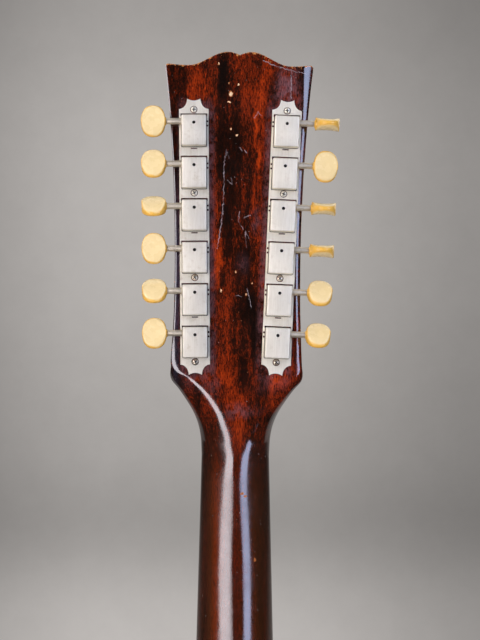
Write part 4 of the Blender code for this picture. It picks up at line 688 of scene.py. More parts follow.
WING_WOOD = stained_wood("stained_wing", shade=0.62, headstock=True)
BODY_WOOD = stained_wood("stained_body", burst=True)
ROSEWOOD = rosewood()
AMBER = plastic("amber_plastic", (0.46, 0.20, 0.035), (0.36, 0.13, 0.020), 0.14)
PEARL = plastic("pearl", (0.74, 0.74, 0.70), (0.56, 0.60, 0.58), 0.16)
FELT = plastic("felt", (0.030, 0.028, 0.026), (0.050, 0.046, 0.042), 0.85)

# The material slot of each look; the rest are aged nickel
SLOTS = {
    "string_steel": (STRING_METAL,),
    "cream_plastic": (BUTTON, CREAM, PEARL),
    "black_plastic": (BLACK, FELT),
    "black_lacquer": (LACQUER,),
    "stained_mahogany": (WOOD, WING_WOOD, BODY_WOOD),
    "rosewood": (ROSEWOOD,),
    "amber_plastic": (AMBER,),
}


# Shapes


def slot_of(material):
    return next((slot for slot, looks in SLOTS.items() if material in looks), "aged_nickel")


def piece(
    name, bm, material, body="guitar", matrix=None, smooth=40.0, bevel=0.0, segments=2, replaces=(), slot=None
):
    """A finished piece: linked, shaded and riding on its body."""
    slot = slot or slot_of(material)
    mesh = bpy.data.meshes.new(name)
    bmesh.ops.recalc_face_normals(bm, faces=bm.faces)
    bm.to_mesh(mesh)
    bm.free()
    mesh.shade_smooth()
    mesh.set_sharp_from_angle(angle=math.radians(smooth))
    mesh.materials.append(material)
    obj = bpy.data.objects.new(name, mesh)
    bpy.context.scene.collection.objects.link(obj)
    if matrix is not None:
        obj.matrix_world = matrix
    if bevel:
        rounding = obj.modifiers.new("rounding", "BEVEL")
        rounding.width = bevel
        rounding.segments = segments
        rounding.limit_method = "ANGLE"
        rounding.angle_limit = math.radians(35)
        rounding.harden_normals = True
    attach(obj, body)
    if replaces:
        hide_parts(*replaces)
    return obj


def paint(obj, name, value):
    """A number for each vertex that the material reads, from a function of its place."""
    layer = obj.data.attributes.new(name, "FLOAT", "POINT")
    layer.data.foreach_set("value", [value(v.co) for v in obj.data.vertices])
    return obj


def loft(rings, caps=True):
    """A bmesh through rings that all have as many points."""
    bm = bmesh.new()
    rows = [[bm.verts.new(point) for point in ring] for ring in rings]
    count = len(rings[0])
    for lower, upper in zip(rows, rows[1:]):
        for i in range(count):
            j = (i + 1) % count
            bm.faces.new((lower[i], lower[j], upper[j], upper[i]))
    if caps:
        bm.faces.new(list(reversed(rows[0])))
        bm.faces.new(rows[-1])
    return bm


def clamped(share):
    return max(0.0, min(1.0, share))


def circle(radius, sides):
    """Points (a, b) round a circle."""
    step = 2 * math.pi / sides
    return [(radius * math.cos(k * step), radius * math.sin(k * step)) for k in range(sides)]


def turned(profile, sides=32):
    """A turned bmesh about Z from (radius, height) pairs, closed at both ends."""
    return loft([[(a, b, height) for a, b in circle(radius, sides)] for radius, height in profile])


def washer(profile, sides, bore, low=-0.01):
    """A turned bmesh with a round hole through it, down to the height low."""
    return cut(turned(profile, sides), turned([(bore, low), (bore, 0.01)], 28))


def hole(x, z, radius, low, high, sides=20):
    """A round cutter along Y."""
    return loft([[(x + a, y, z + b) for a, b in circle(radius, sides)] for y in (low, high)])


def rod(start, end, radius, sides=24):
    """A round bar between two points."""
    start, end = Vector(start), Vector(end)
    bar = turned([(radius, 0.0), (radius, (end - start).length)], sides)
    turn = (end - start).to_track_quat("Z", "Y").to_matrix().to_4x4()
    return moved(bar, Matrix.Translation(start) @ turn)


OUT_OF_BACK = Matrix.Rotation(math.radians(-90), 4, "X")
OUT_OF_FRONT = Matrix.Rotation(math.radians(90), 4, "X")


def placed(x, y, z, out=OUT_OF_FRONT, turn=0.0):
    """A frame at a point, whose Z comes out of the guitar's front or back."""
    return Matrix.Translation((x, y, z)) @ out @ Matrix.Rotation(turn, 4, "Z")


def block(low, high):
    """A box between two corners."""
    bm = bmesh.new()
    bmesh.ops.create_cube(bm, size=1.0)
    size = Vector(high) - Vector(low)
    bmesh.ops.scale(bm, vec=size, verts=bm.verts)
    bmesh.ops.translate(bm, vec=(Vector(high) + Vector(low)) / 2, verts=bm.verts)
    return bm


def slab(outline, low, high):
    """An outline of (x, z) points, thickened from y low to y high."""
    bm = loft([[(x, y, z) for x, z in outline] for y in (low, high)])
    bm.normal_update()
    return bm


def moved(bm, matrix):
    bmesh.ops.transform(bm, matrix=matrix, verts=bm.verts)
    return bm


def joined(*parts):
    """One bmesh from several."""
    whole = bmesh.new()
    for part in parts:
        mesh = bpy.data.meshes.new("joining")
        part.to_mesh(mesh)
        part.free()
        whole.from_mesh(mesh)
        bpy.data.meshes.remove(mesh)
    return whole


def cut(bm, *tools):
    """A bmesh less other bmeshes, by the exact solver."""
    objects = []
    for part in (bm, *tools):
        bmesh.ops.recalc_face_normals(part, faces=part.faces)
        mesh = bpy.data.meshes.new("cutting")
        part.to_mesh(mesh)
        part.free()
        obj = bpy.data.objects.new("cutting", mesh)
        bpy.context.scene.collection.objects.link(obj)
        objects.append(obj)
    target = objects[0]
    for tool in objects[1:]:
        boolean = target.modifiers.new("cut", "BOOLEAN")
        boolean.operation = "DIFFERENCE"
        boolean.solver = "EXACT"
        boolean.object = tool
    bpy.context.view_layer.update()
    result = bmesh.new()
    result.from_object(target, bpy.context.evaluated_depsgraph_get())
    for obj in objects:
        bpy.data.objects.remove(obj)
    return result


def table_value(table, x):
    """A smooth value from (x, value) pairs, which never overshoots between two pairs."""
    if x <= table[0][0]:
        return table[0][1]
    if x >= table[-1][0]:
        return table[-1][1]
    k = max(i for i, (place_x, _) in enumerate(table[:-1]) if place_x <= x)
    steps = [(b[1] - a[1]) / (b[0] - a[0]) for a, b in zip(table, table[1:])]

    def slope(i):
        if i == 0:
            return steps[0]
        if i == len(steps):
            return steps[-1]
        before, after = steps[i - 1], steps[i]
        return 0.0 if before * after <= 0 else 2 * before * after / (before + after)

    span = table[k + 1][0] - table[k][0]
    t = (x - table[k][0]) / span
    return (
        (2 * t**3 - 3 * t**2 + 1) * table[k][1]
        + (t**3 - 2 * t**2 + t) * span * slope(k)
        + (3 * t**2 - 2 * t**3) * table[k + 1][1]
        + (t**3 - t**2) * span * slope(k + 1)
    )


# Neck and headstock


def fret_distance(fret):
    return SCALE_LENGTH * (1 - 2 ** (-fret / 12))


TWELFTH = fret_distance(12)
HEEL = fret_distance(20)
BOARD_END = fret_distance(22) + 0.0070
BODY_TAIL_Z = -HEEL - BODY_JOINT_GAP - BODY_LENGTH


def neck_half_width(distance):
    growth = (NECK_WIDTH_AT_TWELFTH - NUT_WIDTH) / TWELFTH
    return (NUT_WIDTH + growth * distance) / 2


def neck_depth(distance):
    slope = (NECK_DEPTH_AT_TWELFTH - NECK_DEPTH_AT_NUT) / TWELFTH
    plain = NECK_DEPTH_AT_NUT + slope * distance
    into_heel = (distance - (HEEL - HEEL_LENGTH)) / HEEL_LENGTH
    if into_heel <= 0:
        return plain
    return plain + (HEEL_DEPTH - plain) * min(into_heel, 1.0) ** 2.6


FRONT_POINTS = 28
CURVE_STEPS = (4, 5, 10)
CURVE_POINTS = sum(CURVE_STEPS)


def half_profile(side, height, half_width, depth, end_angle):
    """Points (x, y) from the flat of the back round to the square side: ridge, flank and shoulder."""
    if height < EDGE_FROM:
        reach = min(table_value(RIDGE_REACH[side], height), half_width - 0.0008)
    else:
        reach = half_width - table_value(EDGE_INSET[side], height)
    ridge = min(table_value(RIDGE_RADIUS, height), reach / math.sin(RIDGE_ANGLE))
    flank = table_value(FLANK_RADIUS[side], height)
    flat = reach - ridge * math.sin(RIDGE_ANGLE)
    steps_ridge, steps_flank, steps_shoulder = CURVE_STEPS
    points = []
    for k in range(steps_ridge + 1):
        angle = RIDGE_ANGLE * k / steps_ridge
        points.append((flat + ridge * math.sin(angle), depth - ridge * (1 - math.cos(angle))))
    x0 = points[-1][0] - flank * math.sin(RIDGE_ANGLE)
    y0 = points[-1][1] - flank * math.cos(RIDGE_ANGLE)
    for k in range(1, steps_flank + 1):
        angle = RIDGE_ANGLE + (FLANK_ANGLE - RIDGE_ANGLE) * k / steps_flank
        points.append((x0 + flank * math.sin(angle), y0 + flank * math.cos(angle)))
    x2, y2 = points[-1]
    share = table_value(SIDE_SHARES[side], height)
    side_y = min(depth * share, y2 - (half_width - x2) * 0.75)
    start = Vector((math.cos(FLANK_ANGLE), -math.sin(FLANK_ANGLE)))
    end = Vector((-math.cos(end_angle), math.sin(end_angle)))
    gap = Vector((half_width - x2, side_y - y2))
    cross = start.x * end.y - start.y * end.x
    along = (gap.x * end.y - gap.y * end.x) / cross
    bend = Vector((x2, y2)) + start * along
    for k in range(1, steps_shoulder + 1):
        t = k / steps_shoulder
        p = Vector((x2, y2)) * (1 - t) ** 2 + bend * (2 * t * (1 - t)) + Vector((half_width, side_y)) * t * t
        points.append((p.x, p.y))
    return points


def section(height, half_width, depth):
    """Points (x, y) round a section: a front row, the treble side, a back row and the bass side."""
    end_angle = math.radians(table_value(END_ANGLES, height))
    front = [(half_width * (2 * k / FRONT_POINTS - 1), 0.0) for k in range(FRONT_POINTS + 1)]
    treble = half_profile("treble", height, half_width, depth, end_angle)
    bass = half_profile("bass", height, half_width, depth, end_angle)
    first, last = treble[0][0], -bass[0][0]
    back = [(first + (last - first) * k / FRONT_POINTS, depth) for k in range(1, FRONT_POINTS)]
    left = [(-x, y) for x, y in bass]
    return front + treble[::-1] + back + left


def crown_height(x):
    """Height of the crown's edge above the shoulders at a distance across."""
    x = abs(x)
    if x < CROWN_PEAK:
        return CROWN_HEIGHT - CROWN_DIP * (1 - x / CROWN_PEAK) ** 1.5
    if x < CROWN_FOOT:
        share = (x - CROWN_PEAK) / (CROWN_FOOT - CROWN_PEAK)
        return CROWN_HEIGHT * (1 + math.cos(math.pi * share)) / 2
    lift = (x - CROWN_FOOT) / (HEADSTOCK_HALF_WIDTHS[-1][1] - CROWN_FOOT)
    return 0.0009 * max(0.0, lift) ** 2


CROWN_START = 0.205
CROWN_ROUND = 0.0011
CORNER_ROUND = 0.0016


def headstock_ring(height):
    half_width = table_value(HEADSTOCK_HALF_WIDTHS, height)
    return [(x, y, height) for x, y in section(height, half_width, HEADSTOCK_THICKNESS)]


def crown_line(x):
    """The height of the headstock's end at a distance across, with its corners rounded."""
    half_width = HEADSTOCK_HALF_WIDTHS[-1][1]
    past = max(0.0, abs(x) - (half_width - CORNER_ROUND))
    corner = CORNER_ROUND - math.sqrt(max(0.0, CORNER_ROUND**2 - past**2))
    return HEADSTOCK_LENGTH + crown_height(x) - corner


def crown_ring(share, angle=None):
    """A ring that bends up towards the crown, and with an angle the one that rounds its edge over."""
    level = CROWN_START + (HEADSTOCK_LENGTH - CROWN_START) * share
    level_half = table_value(HEADSTOCK_HALF_WIDTHS, level)
    ring = []
    for x, y in section(level, level_half, HEADSTOCK_THICKNESS):
        across = x / level_half
        crown = crown_line(across * HEADSTOCK_HALF_WIDTHS[-1][1])
        z = CROWN_START + (crown - CROWN_ROUND - CROWN_START) * share
        half_width = table_value(HEADSTOCK_HALF_WIDTHS, z)
        if angle is not None:
            z = crown - CROWN_ROUND + CROWN_ROUND * math.sin(angle)
            pull = CROWN_ROUND * (1 - math.cos(angle))
            half_width -= pull * 0.8
            y = min(y, HEADSTOCK_THICKNESS - pull)
        ring.append((across * half_width, y, z))
    return ring


def neck_rings():
    """Rings from the heel up to the crown, in the guitar's frame."""
    rings = []
    for k in range(53):
        distance = HEEL * (1 - k / 52) ** 1.6 if k < 52 else 0.0
        ring = section(-distance, neck_half_width(distance), neck_depth(distance))
        rings.append([Vector((x, y, -distance)) for x, y in ring])
    steps = 100
    first, last = 0.0035, CROWN_START
    for k in range(steps + 1):
        height = first + (last - first) * (k / steps) ** 1.35
        rings.append([HEADSTOCK @ Vector(p) for p in headstock_ring(height)])
    return smooth_at_nut(rings)


def smooth_at_nut(rings):
    """Eases the bend where the neck turns into the headstock."""
    for _ in range(40):
        eased = []
        for below, ring, above in zip(rings, rings[1:], rings[2:]):
            height = ring[FRONT_POINTS // 2].z
            share = max(0.0, 1 - abs(height - 0.004) / 0.030) * 0.5
            new = []
            for b, p, a in zip(below, ring, above):
                span_below, span_above = (p - b).length, (a - p).length
                middle = (b * span_above + a * span_below) / (span_above + span_below)
                new.append(Vector((p.x, p.y + (middle.y - p.y) * share * (1 if p.y > 0.004 else 0), p.z)))
            eased.append(new)
        rings = [rings[0], *eased, rings[-1]]
    return rings


def headstock_mesh():
    """The whole neck and headstock as one closed bmesh."""
    rings = neck_rings()
    for k in range(1, 13):
        rings.append([HEADSTOCK @ Vector(p) for p in crown_ring(k / 12)])
    for k in range(1, 6):
        rings.append([HEADSTOCK @ Vector(p) for p in crown_ring(1.0, math.radians(18) * k)])
    bm = loft(rings, caps=False)
    bm.verts.ensure_lookup_table()
    count = len(rings[0])
    bm.faces.new([bm.verts[i] for i in reversed(range(count))])
    top = [bm.verts[len(bm.verts) - count + i] for i in range(count)]
    front = top[: FRONT_POINTS + 1]
    right = top[FRONT_POINTS + 1 : FRONT_POINTS + 1 + CURVE_POINTS]
    back_start = FRONT_POINTS + 1 + CURVE_POINTS
    back = top[back_start : back_start + FRONT_POINTS + 1]
    left = top[back_start + FRONT_POINTS + 1 :]
    for i in range(FRONT_POINTS):
        bm.faces.new((front[i], back[FRONT_POINTS - i], back[FRONT_POINTS - 1 - i], front[i + 1]))
    bm.faces.new([front[-1], back[0], *reversed(right)])
    bm.faces.new([front[0], *reversed(left), back[-1]])
    bmesh.ops.recalc_face_normals(bm, faces=bm.faces)
    return bm


def keep_between(bm, low, high):
    """Keeps the slice of a closed bmesh between two planes across X, and closes its cuts."""
    for x, inner in ((low, -1), (high, 1)):
        if x is None:
            continue
        geom = bm.verts[:] + bm.edges[:] + bm.faces[:]
        plane = {"plane_co": (x, 0, 0), "plane_no": (inner, 0, 0), "clear_outer": True, "dist": 1e-7}
        made = bmesh.ops.bisect_plane(bm, geom=geom, **plane)
        edges = [e for e in made["geom_cut"] if isinstance(e, bmesh.types.BMEdge)]
        bmesh.ops.contextual_create(bm, geom=edges)
    bm.normal_update()
    return bm


def crown_wear(co):
    """How worn the lacquer is: strong along the crown's back edge, slight along the sides."""
    local = HEADSTOCK.inverted() @ co
    if local.z < 0.02:
        return 0.0
    from_top = crown_line(local.x) - local.z
    on_back = local.y > 0.010
    wear = (0.78 if on_back else 0.45) * max(0.0, 1 - from_top / (0.0018 if on_back else 0.001))
    half_width = table_value(HEADSTOCK_HALF_WIDTHS, local.z)
    side = (0.30 if local.y > 0.009 else 0.1) * max(0.0, 1 - abs(half_width - abs(local.x)) / 0.0009)
    return max(wear, side)


def flank_shade(co):
    """How far a point is round from the flat of the back, where the flanks are darkened as painted shade."""
    local = HEADSTOCK.inverted() @ co
    share = clamped((co.z + 0.006) / 0.014)
    height = co.z * (1 - share) + local.z * share
    if height > 0.075 or co.z < -HEEL + 0.002:
        return 0.0
    half_width = neck_half_width(-co.z)
    if height > 0:
        half_width = max(half_width, table_value(HEADSTOCK_HALF_WIDTHS, height))
    side, further = ("treble", 0.0025) if co.x > 0 else ("bass", -0.0005)
    reach = table_value(RIDGE_REACH[side], height) + further
    share = clamped((abs(co.x) - reach) / max(half_width - reach, 0.002))
    in_flare = clamped(1 + (height + 0.002) / 0.03) if height < 0 else max(0.0, 1 - height / 0.055)
    return (0.55 + 0.40 * in_flare) * share ** (1.8 - 1.2 * in_flare)


def strip_frame(side):
    """From one tuner strip's frame to the guitar's."""
    sign = SIDES[side]
    centre = (sign * ROW_CENTRE[0], ROW_CENTRE[1], ROW_CENTRE[2])
    turn = Matrix.Rotation(sign * ROW_LEAN + ROW_SKEW, 4, "Y")
    return HEADSTOCK @ Matrix.Translation(centre) @ turn


def post_z(index):
    return (2.5 - index) * PITCH


def build_neck():
    """The neck with the middle of the headstock, and the two glued wings."""
    tenon_half = neck_half_width(BOARD_END)
    slices = {
        "neck_wood": (-BLANK_HALF_WIDTH, BLANK_HALF_WIDTH, WOOD, "neck"),
        "treble_wing_wood": (BLANK_HALF_WIDTH, None, WING_WOOD, "treble_headstock_wing"),
        "bass_wing_wood": (None, -BLANK_HALF_WIDTH, WOOD, "bass_headstock_wing"),
    }
    for name, (low, high, material, node) in slices.items():
        bm = keep_between(headstock_mesh(), low, high)
        if node == "neck":
            tenon = block((-tenon_half, 0.0, -BOARD_END), (tenon_half, TENON_DEPTH, -HEEL + 0.001))
            bm = joined(bm, tenon)
        obj = piece(name, bm, material, replaces=[node], smooth=32)
        paint(obj, "wear", crown_wear)
        # The side attribute carries painted shade on the flanks
        paint(obj, "side", flank_shade)


# Tuner strips


def strip_outline():
    """The plate's outline: long sides, a scallop at each corner and a shallow dip in each tip."""
    top = post_z(0) + PLATE_TOP_REACH
    bottom = post_z(5) - PLATE_BOTTOM_REACH
    dips = (0.1, 0.3, 0.5, 0.7, 0.85)
    corner = [(share * PLATE_TIP_HALF_WIDTH, PLATE_TIP_DIP * (1 - share * share)) for share in dips]
    for k in range(13):
        angle = math.radians(90) * k / 12
        x = PLATE_TIP_HALF_WIDTH + (PLATE_HALF_WIDTH - PLATE_TIP_HALF_WIDTH) * (1 - math.cos(angle))
        corner.append((x, PLATE_SCALLOP * math.sin(angle)))
    right = [(x, top - drop) for x, drop in corner] + [(x, bottom + drop) for x, drop in reversed(corner)]
    return right + [(-x, z) for x, z in reversed(right)]


def rounded_box(half_x, low_y, high_y, low_z, high_z, corner=0.0007, edge=0.0008):
    """A pressed cover: upright corners rounded, and a soft edge round its top face."""
    rings = []
    levels = [(low_y, 0.0)]
    for k in range(6):
        angle = math.radians(90) * k / 5
        levels.append((high_y - edge + edge * math.sin(angle), edge * (1 - math.cos(angle))))
    for y, inset in levels:
        ring = []
        radius = max(corner - inset * 0.4, 0.0002)
        for quarter, (sx, sz) in enumerate(((1, 1), (-1, 1), (-1, -1), (1, -1))):
            middle_x = sx * (half_x - inset - radius)
            middle_z = (high_z - inset - radius) if sz > 0 else (low_z + inset + radius)
            for k in range(5):
                angle = math.radians(90) * (quarter + k / 4)
                ring.append((middle_x + radius * math.cos(angle), y, middle_z + radius * math.sin(angle)))
        rings.append(ring)
    return loft(rings)


def cover_place(index):
    """Heights of a cover's lower and upper end and of its key's shaft, in the strip's frame."""
    centre = post_z(index) + COVER_ABOVE_POST
    return centre - COVER_LENGTH / 2, centre + COVER_LENGTH / 2, post_z(index) + SHAFT_ABOVE_POST


def strip_slots(sign):
    """Cutters for a plate's long slots, tab slots and screw holes."""
    slots = []
    for index in range(6):
        low, high, shaft_z = cover_place(index)
        reach = min(0.0015, 0.0018 - 0.0002 * index)
        slots.append(block((-0.0080, -0.001, high - 0.0003), (0.0080, 0.003, high + reach)))
        for step in (-1, 1):
            x = -sign * (COVER_WIDTH / 2 + 0.0007)
            z = shaft_z + step * 0.0013 - 0.0008
            slots.append(block((x - 0.0005, -0.001, z - 0.0006), (x + 0.0005, 0.003, z + 0.0006)))
        if index % 2 == 0:
            slots.append(block((-0.0019, -0.001, low - 0.0014), (0.0019, 0.003, low - 0.0007)))
    return slots + [hole(0.0, z, STRIP_SCREW_RADIUS + 0.0004, -0.001, 0.003) for z in STRIP_SCREW_Z]


def build_strip(side):
    """One strip: its plate with slots, and six pressed covers, each with an oil hole over a disc of painted
    shade and a painted shadow line.
    """
    sign = SIDES[side]
    matrix = strip_frame(side)
    low_y, high_y = SEAT_GAP, SEAT_GAP + PLATE_THICKNESS
    plate = cut(slab(strip_outline(), low_y, high_y), joined(*strip_slots(sign)))
    # The bass strip takes the lighter copy: painted light
    surface = BRUSHED if side == "treble" else LIT_SIDE_NICKEL
    node = f"{side}_tuner_strip"
    piece(f"{side}_strip_plate", plate, surface, matrix=matrix, bevel=0.00018, replaces=[node])
    half, wall, rim = COVER_WIDTH / 2, 0.0005, 0.00028
    for index in range(6):
        low, high, shaft_z = cover_place(index)
        oil_z = shaft_z - 0.0010
        shell = rounded_box(half, high_y - 0.0002, COVER_HEIGHT, low, high)
        inner = rounded_box(half - wall, -0.002, COVER_HEIGHT - wall, low + wall, high - wall)
        oil = hole(0.0, oil_z, OIL_HOLE_RADIUS, COVER_HEIGHT - 0.002, COVER_HEIGHT + 0.002)
        turn = Matrix.Rotation(math.radians(-90 * sign), 4, "Z")
        way = moved(hole(0.0, 0.0, 0.0022, 0.0, 0.012), Matrix.Translation((0, SHAFT_HEIGHT, shaft_z)) @ turn)
        shell = cut(shell, inner, oil, way)
        piece(f"{side}_gear_cover_{index + 1}", shell, surface, matrix=matrix, smooth=50)
        # A dark disc under each oil hole: painted shade inside the cover
        hole_shade_disc = hole(0.0, oil_z, OIL_HOLE_RADIUS + 0.0006, COVER_HEIGHT - 0.0014, COVER_HEIGHT - 0.0006)
        piece(f"{side}_oil_hole_shade_{index + 1}", hole_shade_disc, DARK, matrix=matrix)
        # A thin dark sheet round each cover's foot: a painted shadow line
        shadow_line = rounded_box(half + rim, high_y + 0.00002, high_y + 0.00024, low - rim, high + rim, edge=0.0001)
        piece(f"{side}_cover_shadow_line_{index + 1}", shadow_line, DARK, matrix=matrix)


# Screws


def screw_head(radius, dome, cross=True):
    """A domed screw head with its driver recess, about Z."""
    profile = [(radius * 0.55, -0.0030), (radius, -0.0002), (radius, 0.0001)]
    for k in range(1, 7):
        angle = math.radians(90) * k / 6
        profile.append((max(radius * math.cos(angle), 0.00002), 0.0001 + dome * math.sin(angle)))
    head = turned(profile, 24)
    arm, half = radius * 0.66, radius * 0.15
    depth = dome * 0.9 + 0.0004
    if not cross:
        reach = radius * 1.2
        return cut(head, block((-reach, -half, dome - depth * 0.7), (reach, half, dome + 0.002)))
    first = block((-arm, -half, dome - depth), (arm, half, dome + 0.002))
    second = block((-half, -arm, dome - depth), (half, arm, dome + 0.002))
    return cut(head, first, second)


def cross_slab(arm, half, low, high):
    """A flat cross about Z, painted shade at the bottom of a driver recess."""
    quarter = [(arm, -half), (arm, half), (half, half), (half, arm), (-half, arm), (-half, half)]
    outline = quarter + [(-x, -y) for x, y in quarter]
    return loft([[(x, y, z) for x, y in outline] for z in (low, high)])


def screw(name, radius, dome, matrix, material=CHROME, cross=True):
    piece(name, screw_head(radius, dome, cross), material, matrix=matrix)


def build_strip_screws():
    """Four screws hold each strip."""
    rng = random.Random(12)
    arm, half = STRIP_SCREW_RADIUS * 0.64, STRIP_SCREW_RADIUS * 0.14
    for side in SIDES:
        for number, z in enumerate(STRIP_SCREW_Z):
            place = placed(0, SEAT_GAP + PLATE_THICKNESS + 0.0001, z, OUT_OF_BACK, rng.uniform(0, math.pi))
            matrix = strip_frame(side) @ place
            surface = RUSTY if number > 1 else BRUSHED
            screw(f"{side}_strip_screw_{number + 1}", STRIP_SCREW_RADIUS, 0.0007, matrix, surface)
            # A dark cross in each screw's recess: painted shade
            painted_recess_shade = cross_slab(arm, half, -0.0002, 0.00025)
            piece(f"{side}_screw_recess_shade_{number + 1}", painted_recess_shade, DARK, matrix=matrix)


# Tuner keys


def button_mesh(sign):
    """An oval button, dished along its shaft and thinning to its tips, with a short collar."""
    sides = 44
    half_length = BUTTON_LENGTH / 2
    middle = BUTTON_START + half_length
    steps = 26
    rings = []
    for k in range(steps + 1):
        share = math.sin(math.radians(90) * (2 * k / steps - 1)) * 0.999
        tall = BUTTON_HALF_HEIGHT * (1 - abs(share) ** 2.4) ** (1 / 2.4)
        thick = BUTTON_HALF_THICKNESS + BUTTON_END_FLARE * share * share
        edge = min(1.0, (1 - abs(share)) / 0.06)
        thick -= 0.0007 * (1 - math.sqrt(max(0.0, 1 - (1 - edge) ** 2)))
        ring = []
        for j in range(sides):
            angle = 2 * math.pi * j / sides
            c, s = math.cos(angle), math.sin(angle)
            y = thick * math.copysign(abs(c) ** (2 / 2.2), c)
            z = tall * math.copysign(abs(s) ** (2 / 2.2), s)
            ring.append((sign * (middle + share * half_length), y, z))
        rings.append(ring)
    bm = loft(rings)
    collar = turned([(0.0021, 0.0), (0.0025, 0.0004), (0.0030, 0.0016), (0.0030, 0.0030)], 28)
    turn = Matrix.Rotation(math.radians(90) * sign, 4, "Y")
    return joined(bm, moved(collar, Matrix.Translation((sign * (BUTTON_START - 0.0005), 0, 0)) @ turn))


def shaft_mesh(sign):
    """The key's metal shaft with its worm and the swelling beside the cover."""
    profile = [
        (0.0011, -0.0060), (0.0011, -0.0045), (0.0024, -0.0045), (0.0024, 0.0045), (0.0019, 0.0047),
        (0.0019, 0.0120), (0.0018, 0.0150), (0.0018, BUTTON_START + 0.001),
    ]
    return moved(turned(profile, 28), Matrix.Rotation(math.radians(90) * sign, 4, "Y"))


def rim_share(co):
    """1 at a button's rim, 0 on the middle of its faces."""
    x = (abs(co.x) - BUTTON_START - BUTTON_LENGTH / 2) / (BUTTON_LENGTH / 2)
    z = co.z / BUTTON_HALF_HEIGHT
    reach = (abs(x) ** 2.4 + abs(z) ** 2.4) ** (1 / 2.4)
    return clamped((reach - 0.80) / 0.20)


def build_keys(side):
    """The six keys of a strip, each button turned as the photo shows it."""
    sign = SIDES[side]
    for index, turn in enumerate(BUTTON_TURNS[side]):
        centre = Matrix.Translation((0, SHAFT_HEIGHT, cover_place(index)[2]))
        matrix = strip_frame(side) @ centre @ Matrix.Rotation(math.radians(turn), 4, "X")
        rides = {"body": f"{side}_key_{index + 1}", "matrix": matrix}
        settings = {"replaces": [f"{side}_tuner_key_{index + 1}"], "smooth": 60}
        button = piece(f"{side}_button_{index + 1}", button_mesh(sign), BUTTON, **settings, **rides)
        paint(button, "rim", rim_share)
        piece(f"{side}_key_shaft_{index + 1}", shaft_mesh(sign), SHAFT, **rides)


build_neck()
for side_name in SIDES:
    build_strip(side_name)
    build_keys(side_name)
build_strip_screws()


# Face of the headstock


def crown_outline():
    """Points (x, z) round the headstock, up one side, along the crown and down the other."""
    right = []
    for k in range(61):
        height = 0.0004 + (HEADSTOCK_LENGTH - CORNER_ROUND - 0.0004) * k / 60
        right.append((table_value(HEADSTOCK_HALF_WIDTHS, height), height))
    top = table_value(HEADSTOCK_HALF_WIDTHS, HEADSTOCK_LENGTH)
    crown = []
    for k in range(1, 80):
        x = top * math.cos(math.pi * k / 80)
        crown.append((x, crown_line(x) if abs(x) < top - 0.0001 else HEADSTOCK_LENGTH))
    return right + crown + [(-x, z) for x, z in reversed(right)]


def post_place(side, index):
    """The frame of a string post: its axis is Y, and the veneer's face is at y -0.016."""
    return strip_frame(side) @ Matrix.Translation((0, 0, post_z(index)))


def tube(points, radius, sides=8):
    """A round bar along a list of points."""
    rings = []
    for k, point in enumerate(points):
        before, after = points[max(k - 1, 0)], points[min(k + 1, len(points) - 1)]
        along = (Vector(after) - Vector(before)).normalized()
        across = along.orthogonal() if k == 0 else across - along * across.dot(along)
        across.normalize()
        over = along.cross(across)
        ring = []
        for j in range(sides):
            angle = 2 * math.pi * j / sides
            ring.append(Vector(point) + (across * math.cos(angle) + over * math.sin(angle)) * radius)
        rings.append(ring)
    return loft(rings)


def string_order(side, index):
    """Which string, counted from the bass, winds on a post."""
    return 5 - index if side == "bass" else 6 + index


def post_bar(waist, tip):
    """A string post with its gear, a waist where the string lies and a hole through it."""
    profile = [
        (0.0020, -SHAFT_HEIGHT - 0.0016), (0.0054, -SHAFT_HEIGHT - 0.0014),
        (0.0054, -SHAFT_HEIGHT + 0.0014), (0.0030, -SHAFT_HEIGHT + 0.0015), (0.0030, -waist - 0.0030),
        (0.0026, -waist - 0.0016), (0.0024, -waist), (0.0026, -waist + 0.0016),
        (0.0029, -waist + 0.0028), (0.0029, -tip - 0.0005), (0.0026, -tip),
    ]
    bore = moved(hole(0.0, 0.0, 0.0009, -0.006, 0.006, 12), OUT_OF_FRONT)
    bore = moved(bore, Matrix.Translation((0, waist - 0.0006, 0)) @ Matrix.Rotation(0.6, 4, "Y"))
    return cut(moved(turned(profile, 28), OUT_OF_FRONT), bore)


def winding(order, waist):
    """The turns of a string round its post, with the cut end standing off."""
    radius = STRING_RADII[order // 2][order % 2]
    turns = 3.4 if order % 2 == 0 else 4.2
    pitch = radius * 2.1
    reach = 0.0025 + radius
    coil = []
    for k in range(int(turns * 16) + 1):
        angle = 2 * math.pi * k / 16
        along = waist + pitch * (k / 16 - turns / 2) + 0.0014
        coil.append(Vector((reach * math.cos(angle), along, reach * math.sin(angle))))
    coil.append(coil[-1] + Vector((0.0013, -0.0004, 0.0008)))
    return tube(coil, radius)


def build_posts():
    """Posts, windings, and the bushings pressed into the veneer."""
    face = -HEADSTOCK_THICKNESS - VENEER_THICKNESS
    waist = face - STRING_HOLE_HEIGHT
    tip = face - POST_HEIGHT
    collar = [(0.0050, 0.0001), (0.0050, 0.0007), (0.0046, 0.0011), (0.0037, 0.0012)]
    for side in SIDES:
        for index in range(6):
            matrix = post_place(side, index)
            rides = {"body": f"{side}_post_{index + 1}", "matrix": matrix}
            node = f"{side}_string_post_{index + 1}"
            piece(f"{side}_post_{index + 1}", post_bar(waist, tip), NICKEL, replaces=[node], **rides)
            coil = winding(string_order(side, index), waist)
            piece(f"{side}_winding_{index + 1}", coil, STRING_METAL, smooth=60, **rides)
            place = matrix @ placed(0, face, 0)
            piece(f"{side}_bushing_{index + 1}", washer(collar, 28, BUSHING_BORE), NICKEL, matrix=place)


